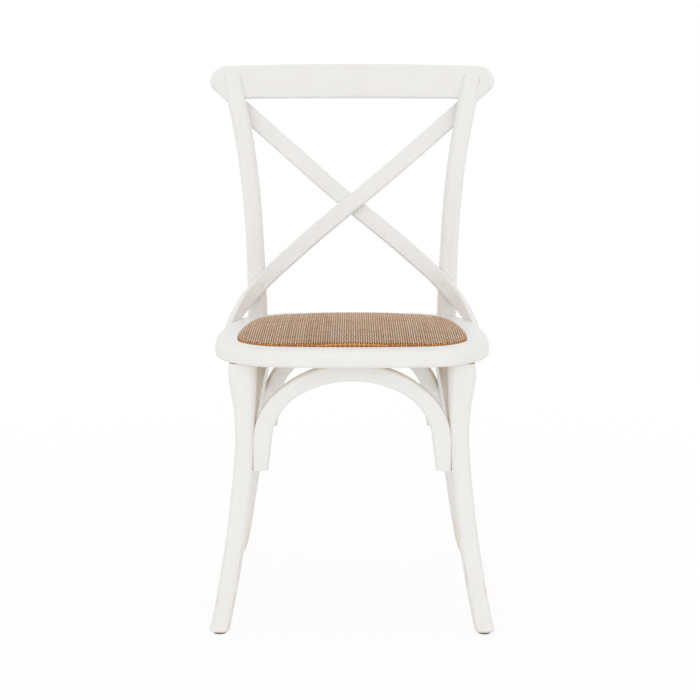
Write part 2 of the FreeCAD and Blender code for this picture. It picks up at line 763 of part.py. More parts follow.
def build_seat_pad():
    """Board, foam and cover that fill the rebate."""
    cover_inset = "Sizes.rim_width + Sizes.pad_gap"
    inner_inset = f"{cover_inset} + Sizes.cover_thickness"
    cover = size("cover_thickness")
    outer = build_pad_block("cover", cover_inset, size("pad_crown_top"), size("pad_roll_radius"))
    inner = build_pad_block("filling", inner_inset, size("pad_crown_top") - cover, size("pad_roll_radius") - cover)
    woven_cover = combine("Part::Cut", "woven_seat_cover", outer, inner)

    board = new_body("seat_board_blank")
    sketch = draw_frame_outline(board, LEDGE_TOP, inner_inset)
    pad(board, sketch, "Sizes.board_thickness")
    doc.recompute()
    foam = combine("Part::Cut", "seat_foam", inner, board)
    doc.recompute()
    return board, foam, woven_cover


# Fasteners

FastenerKind = namedtuple("FastenerKind", "head_radius head_height shank_radius length head_is_flat")
FastenerPlace = namedtuple("FastenerPlace", "head direction recess")

WOOD_SCREW = FastenerKind(4.2, 2.6, 2.0, 38, False)
CROWN_SCREW = FastenerKind(4.2, 2.6, 2.0, 26, False)
BOARD_SCREW = FastenerKind(3.8, 2.4, 1.8, 20, False)
SLAT_SCREW = FastenerKind(3.8, 2.4, 1.8, 26, False)
CROSSING_SCREW = FastenerKind(3.4, 2.0, 1.6, 17, False)
CREST_SCREW = FastenerKind(3.8, 2.4, 1.8, 18, False)
POST_BOLT = FastenerKind(6.8, 4.4, 4.0, 52, True)
COUNTERBORE_CLEARANCE = 0.2
RECESS_OVERRUN = 12


def fastener_profile(kind):
    """Half section of a screw or bolt in the x, z plane: the head's top is at z 0, the tip below."""
    shank_end = -kind.length + 2 * kind.shank_radius
    points = [Vector(0, 0, 0), Vector(kind.head_radius, 0, 0)]
    if kind.head_is_flat:
        points.append(Vector(kind.head_radius, 0, -kind.head_height))
        points.append(Vector(kind.shank_radius, 0, -kind.head_height))
        points.append(Vector(kind.shank_radius, 0, -kind.length - kind.head_height))
        points.append(Vector(0, 0, -kind.length - kind.head_height))
    else:
        points.append(Vector(kind.shank_radius, 0, -kind.head_height))
        points.append(Vector(kind.shank_radius, 0, shank_end))
        points.append(Vector(0, 0, -kind.length))
    return points


def revolve_profile(points):
    closed = Part.makePolygon(points + [points[0]])
    return Part.Face(closed).revolve(Vector(), Vector(0, 0, 1), 360)


def drive_recess(kind):
    """Cross slot in a screw's head, or the hexagon socket in a bolt's."""
    if kind.head_is_flat:
        socket = Part.makePolygon([
            Vector(2.9 * math.cos(math.radians(60 * step)), 2.9 * math.sin(math.radians(60 * step)), -2.4)
            for step in range(7)])
        return Part.Face(socket).extrude(Vector(0, 0, 3))
    reach = kind.head_radius * 0.55
    slot = 0.9
    blade = Part.makeBox(2 * reach, slot, 2, Vector(-reach, -slot / 2, -1.5))
    other_blade = Part.makeBox(slot, 2 * reach, 2, Vector(-slot / 2, -reach, -1.5))
    return blade.fuse(other_blade).removeSplitter()


def placed(shape, place):
    """A shape built pointing down -Z, set at a fastener's place and turned along its direction."""
    rotation = FreeCAD.Rotation(Vector(0, 0, -1), place.direction)
    copy = shape.copy()
    copy.Placement = FreeCAD.Placement(place.head, rotation)
    return copy


def build_fasteners(label, kind, places):
    """The screws of one node, and the holes they need in the wood."""
    solid = revolve_profile(fastener_profile(kind)).cut(drive_recess(kind))
    group = plain_feature(label, Part.makeCompound([placed(solid, place) for place in places]))
    envelope = revolve_profile(fastener_profile(kind))
    holes = []
    for place in places:
        mouth = Part.makeCylinder(
            kind.head_radius + COUNTERBORE_CLEARANCE, RECESS_OVERRUN + place.recess)
        holes.append(placed(envelope.fuse(mouth), place))
    hole_group = plain_feature(f"{label}_holes", Part.makeCompound(holes))
    return group, hole_group


def mirrored_places(places):
    """Each place, and the same one on the other side of the chair."""
    both = []
    for place in places:
        for _, side in SIDES:
            head = Vector(side * place.head.x, place.head.y, place.head.z)
            direction = Vector(side * place.direction.x, place.direction.y, place.direction.z)
            both.append(FastenerPlace(head, direction, place.recess))
    return both


FOOT_SCREW_CROSS = 285
FOOT_SCREW_SIDE = 346
FRONT_ARCH_DEPTH = -156
REAR_ARCH_FOOT_DEPTH = 191
REAR_ARCH_LEAN = 9.2
SIDE_ARCH_MIDDLE = 16.5
SIDE_ARCH_LEAN = 9.5
SIDE_ARCH_FOOT_X = 163
SIDE_ARCH_FOOT_HEIGHT = 330
BACKWARD = Vector(0, 1, 0)
FORWARD = Vector(0, -1, 0)
UPWARD = Vector(0, 0, 1)
OUTWARD = Vector(1, 0, 0)


def side_arch_x(height):
    """Distance of a side arch's plane from the middle of the chair: it leans in as it rises."""
    return SIDE_ARCH_FOOT_X - (height - SIDE_ARCH_FOOT_HEIGHT) * math.tan(math.radians(SIDE_ARCH_LEAN))


def rear_arch_y(height):
    """Depth of the rear arch's plane: it leans forward as it rises."""
    return REAR_ARCH_FOOT_DEPTH - (height - FOOT_SCREW_CROSS) * math.tan(math.radians(REAR_ARCH_LEAN))


def arch_foot_screw_places():
    """Through each arch's foot into the leg, from inside the arch."""
    cross_face = CROSS_ARCH.inner_foot - 4
    side_face = SIDE_ARCH.inner_foot - 3
    side_x = side_arch_x(FOOT_SCREW_SIDE)
    return mirrored_places([
        FastenerPlace(at(cross_face + 3, FRONT_ARCH_DEPTH, FOOT_SCREW_CROSS), OUTWARD, 3),
        FastenerPlace(at(cross_face + 3, REAR_ARCH_FOOT_DEPTH, FOOT_SCREW_CROSS), OUTWARD, 3),
        FastenerPlace(at(side_x, SIDE_ARCH_MIDDLE - side_face + 2, FOOT_SCREW_SIDE), FORWARD, 3),
        FastenerPlace(at(side_x, SIDE_ARCH_MIDDLE + side_face - 2, FOOT_SCREW_SIDE), BACKWARD, 3),
    ])


def arch_crown_screw_places():
    """Up through each arch's crown into the ledge of the seat frame."""
    head_height = FRAME_UNDERSIDE + 9 - CROWN_SCREW.length
    from_middle = 26
    side_x = side_arch_x(FRAME_UNDERSIDE - 10)
    return mirrored_places([
        FastenerPlace(at(from_middle, FRONT_ARCH_DEPTH, head_height), UPWARD, 4),
        FastenerPlace(at(from_middle, rear_arch_y(FRAME_UNDERSIDE - 10), head_height), UPWARD, 4),
        FastenerPlace(at(side_x, SIDE_ARCH_MIDDLE - from_middle, head_height), UPWARD, 4),
        FastenerPlace(at(side_x, SIDE_ARCH_MIDDLE + from_middle, head_height), UPWARD, 4),
    ])


def board_screw_places():
    """Up through the ledge into the seat board."""
    spots = [(95, -142), (152, -84), (147, 104), (78, 152)]
    return mirrored_places([FastenerPlace(at(x, y, FRAME_UNDERSIDE), UPWARD, 0) for x, y in spots])


POST_BOLT_HEIGHT = FRAME_UNDERSIDE + 13.5
POST_BOLT_SINK = 7
WASHER_THICKNESS = 1.6
WASHER_RADIUS = 8
INSERT_RADIUS = 6
INSERT_LENGTH = 17


def post_bolt_seat():
    """Distance from the middle and depth at which a post bolt's washer sits."""
    x, y = centre_of(REAR_LEG, POST_BOLT_HEIGHT)
    return x, y + size("rear_leg_width") / 2 - POST_BOLT_SINK


def post_bolt_places():
    x, seat = post_bolt_seat()
    head_top = seat + WASHER_THICKNESS + POST_BOLT.head_height
    return mirrored_places([FastenerPlace(at(x, head_top, POST_BOLT_HEIGHT), FORWARD, 8)])


def ring_along_y(outer, inner, front, length, x, height):
    """A round washer or sleeve whose axis runs front to back."""
    outside = Part.makeCylinder(outer, length, at(x, front, height), BACKWARD)
    inside = Part.makeCylinder(inner, length, at(x, front, height), BACKWARD)
    return outside.cut(inside)


def build_post_bolt_fittings():
    """Washers under the bolt heads, threaded inserts in the frame, and the space each needs."""
    x, seat = post_bolt_seat()
    tip = seat + WASHER_THICKNESS - POST_BOLT.length
    washers, inserts, washer_space, insert_space = [], [], [], []
    for _, side in SIDES:
        washers.append(ring_along_y(
            WASHER_RADIUS, POST_BOLT.shank_radius, seat, WASHER_THICKNESS, side * x, POST_BOLT_HEIGHT))
        inserts.append(ring_along_y(
            INSERT_RADIUS, POST_BOLT.shank_radius, tip + 1, INSERT_LENGTH, side * x, POST_BOLT_HEIGHT))
        washer_space.append(Part.makeCylinder(
            WASHER_RADIUS, 30, at(side * x, seat, POST_BOLT_HEIGHT), BACKWARD))
        insert_space.append(Part.makeCylinder(
            INSERT_RADIUS, INSERT_LENGTH, at(side * x, tip + 1, POST_BOLT_HEIGHT), BACKWARD))
    return (
        plain_feature("post_bolt_washers", Part.makeCompound(washers)),
        plain_feature("post_bolt_inserts", Part.makeCompound(inserts)),
        plain_feature("washer_space", Part.makeCompound(washer_space)),
        plain_feature("insert_space", Part.makeCompound(insert_space)),
    )


PLUG_THICKNESS = 2.6
LOWER_CROSSING = 9
FOOT_STATION = 13
TOP_STATION = 1


def slat_places(station, from_face, sink, direction_sign):
    """Places on both slats' faces at a station: from_face 1 is the slat's face side, -1 its back."""
    places = []
    for _, side in SIDES:
        centre, _, outward = slat_frames(side, 0)[station]
        head = centre + outward * (from_face * (size("slat_thickness") / 2 - sink))
        places.append(FastenerPlace(head, outward * direction_sign, 3))
    return places


def crossing_screw_places():
    centre, _, outward = slat_frames(1, 0)[SLAT_CROSSING]
    return [FastenerPlace(centre - outward * size("slat_thickness"), outward, 3)]


CREST_SCREW_SPOTS = [(206.5, 842), (211, 861)]
CREST_PLUG_RADIUS = 4.2
CREST_PLUG_LENGTH = 4


def crest_back_face(x, z):
    """Depth of the crest rail's back face at a point of its front view."""
    lean = math.radians(size("crest_lean"))
    back_radius = size("crest_radius") + size("crest_thickness")
    across = math.sqrt(back_radius ** 2 - x ** 2) - size("crest_radius")
    up = (z - size("crest_reference") + across * math.sin(lean)) / math.cos(lean)
    return size("crest_front") + across * math.cos(lean) + up * math.sin(lean)


def crest_screw_places():
    """From the back of the crest rail into the post tops, under wooden plugs."""
    return mirrored_places([
        FastenerPlace(at(x, crest_back_face(x, z) - CREST_PLUG_LENGTH - 1, z), FORWARD, 4)
        for x, z in CREST_SCREW_SPOTS])


def build_crest_plugs():
    plugs = []
    for place in crest_screw_places():
        plugs.append(Part.makeCylinder(CREST_PLUG_RADIUS - 0.2, CREST_PLUG_LENGTH, place.head, BACKWARD))
    return plain_feature("crest_rail_plugs", Part.makeCompound(plugs))


def build_slat_plugs(places):
    plugs = []
    for place in places:
        plugs.append(Part.makeCylinder(
            SLAT_SCREW.head_radius, PLUG_THICKNESS, place.head, place.direction * -1))
    return plain_feature("slat_plugs", Part.makeCompound(plugs))


# Glides

def build_glide(label, section, side):
    """A round glide with a rounded lower edge under one foot."""
    glide = Part.makeCylinder(size("glide_radius"), GLIDE_HEIGHT, at(side * section.x, section.y, 0))
    lower_edges = [edge for edge in glide.Edges if edge.BoundBox.ZMax < 0.01]
    return plain_feature(label, glide.makeFillet(1.2, lower_edges))


def build_glide_nails():
    nails = []
    for section in (FRONT_LEG[0], REAR_LEG[0]):
        for _, side in SIDES:
            nails.append(Part.makeCylinder(
                size("glide_nail_radius"), size("glide_nail_length"), at(side * section.x, section.y, 1)))
    return plain_feature("glide_nails", Part.makeCompound(nails))


# Blanks, before any joint is cut

seat_frame = build_seat_frame()
front_legs = {name: build_front_leg(name, side) for name, side in SIDES}
rear_legs = {name: build_rear_leg(name, side) for name, side in SIDES}

front_arch = build_arch(
    "front_arch_blank", CROSS_ARCH, "XZ_Plane", Vector(0, 0, -FRONT_ARCH_DEPTH - CENTRE_SHIFT))
rear_arch = build_arch(
    "rear_arch_blank", CROSS_ARCH, "XZ_Plane",
    Vector(0, FOOT_SCREW_CROSS, -REAR_ARCH_FOOT_DEPTH - CENTRE_SHIFT), REAR_ARCH_LEAN)
side_arches = {
    name: build_arch(
        f"{name}_arch_blank", SIDE_ARCH, "YZ_Plane",
        Vector(SIDE_ARCH_MIDDLE + CENTRE_SHIFT, SIDE_ARCH_FOOT_HEIGHT, side * SIDE_ARCH_FOOT_X),
        -side * SIDE_ARCH_LEAN)
    for name, side in SIDES}

crest_rail = build_crest_rail()
slat_front = build_slat("slat_front_blank", 1, -1)
slat_back = build_slat("slat_back_blank", -1, 1)
seat_board, seat_foam, woven_cover = build_seat_pad()

# Fasteners and the holes they need

foot_screws, foot_screw_holes = build_fasteners("arch_foot_screws", WOOD_SCREW, arch_foot_screw_places())
crown_screws, crown_screw_holes = build_fasteners("arch_crown_screws", CROWN_SCREW, arch_crown_screw_places())
board_screws, board_screw_holes = build_fasteners("seat_board_screws", BOARD_SCREW, board_screw_places())
post_bolts, post_bolt_holes = build_fasteners("post_bolts", POST_BOLT, post_bolt_places())
washers, inserts, washer_space, insert_space = build_post_bolt_fittings()

lower_slat_places = slat_places(LOWER_CROSSING, 1, PLUG_THICKNESS, -1)
slat_post_screws, slat_post_holes = build_fasteners("slat_post_screws", SLAT_SCREW, lower_slat_places)
slat_plugs = build_slat_plugs(lower_slat_places)
slat_foot_screws, slat_foot_holes = build_fasteners(
    "slat_foot_screws", SLAT_SCREW, slat_places(FOOT_STATION, -1, 0, 1))
slat_top_screws, slat_top_holes = build_fasteners(
    "slat_top_screws", SLAT_SCREW, slat_places(TOP_STATION, -1, 0, 1))
crossing_screw, crossing_hole = build_fasteners(
    "slat_crossing_screw", CROSSING_SCREW, crossing_screw_places())
crest_screws, crest_screw_holes = build_fasteners("crest_rail_screws", CREST_SCREW, crest_screw_places())
crest_plugs = build_crest_plugs()
glide_nails = build_glide_nails()

# Joints: each piece gives way to the ones that are let into it

FRAME_SPAN = 600
CREST_SHOULDER = 830
above_frame_underside = plain_feature(
    "above_frame_underside",
    Part.makeBox(FRAME_SPAN, FRAME_SPAN, 60, at(-FRAME_SPAN / 2, -FRAME_SPAN / 2, FRAME_UNDERSIDE)))

notch_clearance = []
for _, post_side in SIDES:
    post_x, post_y = centre_of(REAR_LEG, POST_BOLT_HEIGHT)
    width = size("rear_leg_width")
    notch_clearance.append(Part.makeBox(
        width, 60, 60, at(post_side * post_x - width / 2, post_y, FRAME_UNDERSIDE - 10)))
post_notches = plain_feature("post_notches", Part.makeCompound(notch_clearance))

crest_behind_lap = build_crest_band("crest_behind_lap", size("crest_lap"), 80)
crest_shoulder = plain_feature(
    "crest_shoulder", Part.makeBox(FRAME_SPAN, 200, 80, at(-FRAME_SPAN / 2, 180, CREST_SHOULDER)))
behind_lap = combine("Part::Common", "behind_lap", crest_behind_lap, crest_shoulder)
doc.recompute()

parts = {}
for name, side in SIDES:
    parts[f"front_leg_{name}"] = cut(
        f"front_leg_{name}", front_legs[name], [foot_screw_holes, glide_nails])
    parts[f"rear_leg_{name}"] = cut(
        f"rear_leg_{name}", rear_legs[name],
        [behind_lap, slat_front, slat_back, foot_screw_holes, washer_space, post_bolt_holes,
         slat_post_holes, slat_top_holes, crest_screw_holes, glide_nails])
doc.recompute()

rear_leg_parts = [parts["rear_leg_left"], parts["rear_leg_right"]]
front_leg_parts = [parts["front_leg_left"], parts["front_leg_right"]]
parts["seat_frame"] = cut(
    "seat_frame", seat_frame,
    [rear_legs["left"], rear_legs["right"], front_legs["left"], front_legs["right"], post_notches,
     slat_front, slat_back, crown_screw_holes, board_screw_holes, post_bolt_holes, insert_space,
     slat_foot_holes])
parts["crest_rail"] = cut(
    "crest_rail", crest_rail, rear_leg_parts + [slat_front, slat_back, crest_screw_holes])
parts["front_arch"] = cut(
    "front_arch", front_arch,
    front_leg_parts + [above_frame_underside, foot_screw_holes, crown_screw_holes])
parts["rear_arch"] = cut(
    "rear_arch", rear_arch,
    [rear_legs["left"], rear_legs["right"], above_frame_underside, foot_screw_holes, crown_screw_holes])
for name, side in SIDES:
    parts[f"{name}_arch"] = cut(
        f"{name}_arch", side_arches[name],
        [front_legs[name], rear_legs[name], above_frame_underside, foot_screw_holes, crown_screw_holes])
parts["slat_front"] = cut(
    "slat_front", slat_front,
    [slat_post_holes, slat_foot_holes, slat_top_holes, crossing_hole])
parts["slat_back"] = cut(
    "slat_back", slat_back,
    [slat_front, slat_post_holes, slat_foot_holes, slat_top_holes, crossing_hole])
parts["seat_board"] = cut("seat_board", seat_board, [board_screw_holes])
for section, end in ((FRONT_LEG[0], "front"), (REAR_LEG[0], "rear")):
    for name, side in SIDES:
        label = f"glide_{end}_{name}"
        parts[label] = cut(label, build_glide(f"{label}_blank", section, side), [glide_nails])

for feature in (
        seat_foam, woven_cover, foot_screws, crown_screws, board_screws, post_bolts, washers, inserts,
        slat_post_screws, slat_plugs, slat_foot_screws, slat_top_screws, crossing_screw,
        crest_screws, crest_plugs, glide_nails):
    parts[feature.Label] = feature
doc.recompute()

# Every object has to be sound before anything is written

for item in doc.Objects:
    for fault in ("Invalid", "Error"):
        if fault in item.State:
            raise RuntimeError(f"{item.Label} is {fault}: {item.State}")
for label, feature in parts.items():
    shape = feature.Shape
    if shape.isNull() or not shape.isValid() or not shape.Solids:
        raise RuntimeError(f"{label} has no sound shape")

os.makedirs("parts", exist_ok=True)
whole = FreeCAD.BoundBox()
for label, feature in parts.items():
    feature.Shape.exportStep(f"parts/{label}.step")
    whole.add(feature.Shape.BoundBox)
    print(f"{label}: {len(feature.Shape.Solids)} solid(s), {feature.Shape.Volume / 1000:.1f} cm3")
print(f"whole chair: x {whole.XMin:.1f} to {whole.XMax:.1f}, y {whole.YMin:.1f} to {whole.YMax:.1f}, "
      f"z {whole.ZMin:.1f} to {whole.ZMax:.1f}")
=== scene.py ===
"""Looks for a painted cross back chair with a woven drop-in seat.

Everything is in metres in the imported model's frame: the chair stands on z = 0 and faces -Y.
The wooden and metal nodes keep their meshes and get materials. The seat pad's cover and foam
are replaced by a crowned pad with real cane strands woven over it.
"""

import json
import logging
import math
from dataclasses import dataclass
from enum import Enum
from typing import Any, NamedTuple

import bpy
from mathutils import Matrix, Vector

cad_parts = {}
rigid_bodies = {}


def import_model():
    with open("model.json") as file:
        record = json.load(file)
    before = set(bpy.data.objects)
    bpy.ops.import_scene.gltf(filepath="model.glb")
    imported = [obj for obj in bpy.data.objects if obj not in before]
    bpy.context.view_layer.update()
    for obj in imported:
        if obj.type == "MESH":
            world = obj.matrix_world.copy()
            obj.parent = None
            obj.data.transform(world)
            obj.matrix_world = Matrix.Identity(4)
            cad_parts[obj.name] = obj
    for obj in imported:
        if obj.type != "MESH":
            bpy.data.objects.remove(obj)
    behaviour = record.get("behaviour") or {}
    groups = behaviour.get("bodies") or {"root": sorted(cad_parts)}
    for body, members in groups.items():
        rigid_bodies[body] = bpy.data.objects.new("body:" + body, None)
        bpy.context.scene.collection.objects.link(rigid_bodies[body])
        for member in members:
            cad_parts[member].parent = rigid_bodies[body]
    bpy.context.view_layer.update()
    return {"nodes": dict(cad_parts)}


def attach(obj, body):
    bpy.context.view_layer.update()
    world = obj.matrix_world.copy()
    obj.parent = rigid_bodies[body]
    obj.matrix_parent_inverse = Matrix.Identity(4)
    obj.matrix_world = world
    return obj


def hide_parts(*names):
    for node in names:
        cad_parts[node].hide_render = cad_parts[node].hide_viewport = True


logging.basicConfig(level=logging.INFO, format="%(name)s: %(message)s")
LOG = logging.getLogger("chair")

MM = 0.001
# Depth of the seat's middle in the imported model
SEAT_MIDDLE_Y = -46.668 * MM

Point = tuple[float, float]
Place = tuple[float, float, float]
Colour = tuple[float, float, float, float]

# The kinds of node that are used most
MATH = "ShaderNodeMath"
VECTOR_MATH = "ShaderNodeVectorMath"
MAP_RANGE = "ShaderNodeMapRange"
NOISE = "ShaderNodeTexNoise"
BUMP = "ShaderNodeBump"


class Grain(Enum):
    """Direction in which a painted piece's wood grain and brush marks run.

    Each value stretches the coordinates so that streaks come out long in that direction.
    """

    ALONG_X = (0.06, 1.0, 1.0)
    ALONG_Y = (1.0, 0.06, 1.0)
    ALONG_Z = (1.0, 1.0, 0.06)


class Weave(Enum):
    """The two families of cane strands."""

    RIBS = ("seat_weave_ribs", (1.0, 0.0, 0.0), (0.0, 1.0, 0.0), 5)
    STAKES = ("seat_weave_stakes", (0.0, 1.0, 0.0), (1.0, 0.0, 0.0), 6)

    def __init__(self, piece: str, across: Place, along: Place, seed: int) -> None:
        """Keep what sets a family apart.

        Args:
            piece: Name of the family's piece.
            across: Direction from one strand to the next.
            along: Direction that the strands run in.
            seed: Seed of the strands' tones.
        """
        self.piece = piece
        self.across = across
        self.along = along
        self.seed = seed


def linear(srgb_hex: str) -> Colour:
    """Turn an sRGB hex colour into the linear one that shaders use.

    Args:
        srgb_hex: Colour such as "#EDEAE6".

    Returns:
        Linear red, green, blue and full alpha.
    """
    channels = [int(srgb_hex[i:i + 2], 16) / 255 for i in (1, 3, 5)]
    values = [c / 12.92 if c <= 0.04045 else ((c + 0.055) / 1.055) ** 2.4 for c in channels]
    return values[0], values[1], values[2], 1.0


class Span(NamedTuple):
    """Stretch of values over which an effect grows from none to full."""

    none: float
    full: float

    def of(self, value: Any) -> dict[str, Any]:
        """Give a Map Range node's inputs.

        Args:
            value: Value or socket that the effect follows.

        Returns:
            Value or socket of each input.
        """
        return {"Value": value, "From Min": self.none, "From Max": self.full}


class Pattern(NamedTuple):
    """Uneven pattern drawn by noise: size of a feature, octaves, and strength of the finer ones."""

    size: float
    octaves: float
    finer: float

    def at(self, place: Any) -> dict[str, Any]:
        """Give a Noise Texture node's inputs.

        Args:
            place: Coordinates in metres.

        Returns:
            Value or socket of each input.
        """
        return {
            "Vector": place,
            "Scale": 1 / self.size,
            "Detail": self.octaves,
            "Roughness": self.finer,
        }


class NodeGraph:
    """Adds and joins the nodes of one tree."""

    def __init__(self, tree: bpy.types.NodeTree) -> None:
        """Start on an empty tree.

        Args:
            tree: Shader or geometry node tree.
        """
        self.tree = tree
        tree.nodes.clear()

    def add(self, kind: str, inputs: Any = (), output: int | str = 0, **settings: Any) -> Any:
        """Add a node, set its properties, and fill or link its inputs.

        Args:
            kind: Node type, such as "ShaderNodeTexNoise".
            inputs: Value or socket of each input, in order or by name or index.
            output: Name or index of the output wanted.
            settings: Properties of the node itself.

        Returns:
            The output's socket, or None for a node without outputs.
        """
        node = self.tree.nodes.new(kind)
        for name, value in settings.items():
            setattr(node, name, value)
        for key, value in inputs.items() if isinstance(inputs, dict) else enumerate(inputs):
            if isinstance(value, bpy.types.NodeSocket):
                self.tree.links.new(value, node.inputs[key])
            else:
                node.inputs[key].default_value = value
        return node.outputs[output] if node.outputs else None


def coats(graph: NodeGraph, base: str, *layers: tuple[Any, float, str]) -> bpy.types.NodeSocket:
    """Lay colours over each other.

    Args:
        graph: The material's nodes.
        base: Colour underneath, as sRGB hex.
        layers: Where each next colour lies, how strongly it covers there, and its sRGB hex.

    Returns:
        The colour's socket.
    """
    colour: Any = linear(base)
    for where, strength, layer in layers:
        share = graph.add(MATH, (where, strength), operation="MULTIPLY")
        # Set to colours, a Mix node has its factor and colours at inputs 0, 6 and 7
        colour = graph.add(
            "ShaderNodeMix", {0: share, 6: colour, 7: linear(layer)}, 2, data_type="RGBA")
    return colour


def background_rays(graph: NodeGraph) -> bpy.types.NodeSocket:
    """Find the rays that show the background: seen directly, in a gloss or through glass.

    Args:
        graph: Nodes of a material or world.

    Returns:
        Socket that is 1 for such a ray and 0 for one that lights the chair.
    """
    rays = graph.add("ShaderNodeLightPath").node.outputs
    shown = graph.add(
        MATH, (rays["Is Camera Ray"], rays["Is Glossy Ray"]),
        operation="ADD", use_clamp=True)
    return graph.add(MATH, (shown, rays["Is Transmission Ray"]), operation="ADD", use_clamp=True)


@dataclass(frozen=True)
class Finish:
    """A surface finish. Each kind builds one node material."""

    name: str
    roughness: float = 0.5

    def material(self) -> bpy.types.Material:
        """Make the material.

        Returns:
            The new material.
        """
        material = bpy.data.materials.new(self.name)
        material.use_nodes = True
        graph = NodeGraph(material.node_tree)
        place = graph.add("ShaderNodeTexCoord", output="Object")
        graph.add("ShaderNodeOutputMaterial", {"Surface": self.surface(graph, place)})
        return material

    def surface(self, graph: NodeGraph, place: bpy.types.NodeSocket) -> bpy.types.NodeSocket:
        """Add the shader.

        Args:
            graph: The material's nodes.
            place: Object coordinates, in metres.

        Returns:
            The shader's socket.
        """
        # The shader's own IOR of 1.5 is typical of paint, varnish and plastic, and metal keeps it
        inputs = {"Roughness": self.roughness, **self.look(graph, place)}
        return graph.add("ShaderNodeBsdfPrincipled", inputs)

    def look(self, graph: NodeGraph, place: bpy.types.NodeSocket) -> dict[str, Any]:
        """Add the nodes that give the finish its look.

        Args:
            graph: The material's nodes.
            place: Object coordinates, in metres.

        Returns:
            Value or socket of each shader input that isn't left as it is.
        """
        raise NotImplementedError


@dataclass(frozen=True)
class PaintedWood(Finish):
    """Satin white paint on beech, brushed along the grain and rubbed through in a few places."""

    # Brushed satin paint gives a broad, soft highlight, faint ridges along the grain, and pale wood
    # where edges are rubbed through. A warm painted shade darkens the closed-in places under the
    # seat
    grain: Grain = Grain.ALONG_Z
    paint: str = "#EBEBEA"
    thin_paint: str = "#E8E7E4"
    bare_wood: str = "#A98A63"
    dirt: str = "#8C8467"
    painted_shade: str = "#E8DAC6"

    # A brush leaves marks of about 0.3 mm. They are drawn coarser, or the render wouldn't show them
    brush_marks: Pattern = Pattern(1.111 * MM, 4, 0.6)
    brush_depth: float = 0.04 * MM
    grain_lines: Pattern = Pattern(4.762 * MM, 3, 0.55)
    grain_depth: float = 0.10 * MM
    clouds: Pattern = Pattern(62.5 * MM, 3, 0.5)
    grain_share: float = 0.55
    thin_where: Span = Span(0.46, 0.68)

    edge_reach: float = 2.5 * MM
    edge_samples: int = 6
    edge_turn: Span = Span(0.985, 0.90)
    rub_patches: Pattern = Pattern(43.48 * MM, 4, 0.65)
    rub_where: Span = Span(0.57, 0.66)
    kicked_height: Span = Span(90 * MM, 10 * MM)
    kicked_more: float = 0.10
    rub_strength: float = 0.75

    corner_turn: Span = Span(0.60, 0.67)
    corner_height: Span = Span(170 * MM, 110 * MM)
    corner_stretches: Pattern = Pattern(8.333 * MM, 3, 0.5)
    stretch_where: Span = Span(0.50, 0.56)
    corner_strength: float = 0.5

    specks: Pattern = Pattern(3.846 * MM, 2, 0.5)
    speck_where: Span = Span(0.74, 0.78)
    speck_fields: Pattern = Pattern(111.1 * MM, 2, 0.5)
    field_where: Span = Span(0.56, 0.64)
    speck_strength: float = 0.6

    # Painted shade: a warm beige laid where the paint is closed in under the seat
    shade_reach: float = 220 * MM
    shade_samples: int = 8
    shade_openness: Span = Span(0.62, 0.32)
    shade_height: Span = Span(440 * MM, 425 * MM)
    shade_strength: float = 0.6

    gloss_change: float = 0.16
    rubbed_dull: float = 0.2

    def look(self, graph: NodeGraph, place: bpy.types.NodeSocket) -> dict[str, Any]:
        """Add paint, grain, worn edges and corners, specks, and a warm painted shade under the
        seat.

        Args:
            graph: The material's nodes.
            place: Object coordinates, in metres.

        Returns:
            Sockets for colour, roughness and normal.
        """
        along = graph.add(VECTOR_MATH, (place, self.grain.value), operation="MULTIPLY")
        height = graph.add("ShaderNodeSeparateXYZ", (place,), "Z")
        marks = graph.add(NOISE, self.brush_marks.at(along))
        lines = graph.add(NOISE, self.grain_lines.at(along))
        cloud = graph.add(NOISE, self.clouds.at(place))
        tone = graph.add(MATH, (cloud, 1 - self.grain_share), operation="MULTIPLY")
        tone = graph.add(MATH, (lines, self.grain_share, tone), operation="MULTIPLY_ADD")
        thin = graph.add(MAP_RANGE, self.thin_where.of(tone))
        rubbed = graph.add(
            MATH,
            (self.rubbed_edges(graph, place, height), self.worn_corners(graph, along, height)),
            operation="MAXIMUM")

        colour = coats(
            graph, self.paint,
            (thin, 1.0, self.thin_paint),
            (rubbed, self.rub_strength, self.bare_wood),
            (self.speckles(graph, place), self.speck_strength, self.dirt),
            # Painted shade, warm, in the closed-in places under the seat
            (self.painted_shade_places(graph, height), self.shade_strength, self.painted_shade))

        even = self.roughness - self.gloss_change / 2
        dull = graph.add(MATH, (cloud, self.gloss_change, even), operation="MULTIPLY_ADD")
        dull = graph.add(MATH, (rubbed, self.rubbed_dull, dull), operation="MULTIPLY_ADD")
        coarse = graph.add(BUMP, {"Distance": self.grain_depth, "Height": lines})
        relief = graph.add(BUMP, {"Distance": self.brush_depth, "Height": marks, "Normal": coarse})
        return {"Base Color": colour, "Roughness": dull, "Normal": relief}

    def rubbed_edges(self, graph: NodeGraph, place: Any, height: Any) -> bpy.types.NodeSocket:
        """Find where edges are rubbed through, from how far a bevelled normal turns there.

        Args:
            graph: The material's nodes.
            place: Object coordinates, in metres.
            height: Height above the floor.

        Returns:
            Socket that is 1 where the wood is bare.
        """
        soft = graph.add("ShaderNodeBevel", {"Radius": self.edge_reach}, samples=self.edge_samples)
        normal = graph.add("ShaderNodeNewGeometry", output="Normal")
        turned = graph.add(VECTOR_MATH, (soft, normal), "Value", operation="DOT_PRODUCT")
        edge = graph.add(MAP_RANGE, self.edge_turn.of(turned))
        kicked = graph.add(MAP_RANGE, self.kicked_height.of(height))
        patch = graph.add(NOISE, self.rub_patches.at(place))
        patch = graph.add(MATH, (kicked, self.kicked_more, patch), operation="MULTIPLY_ADD")
        patch = graph.add(MAP_RANGE, self.rub_where.of(patch))
        return graph.add(MATH, (edge, patch), operation="MULTIPLY")

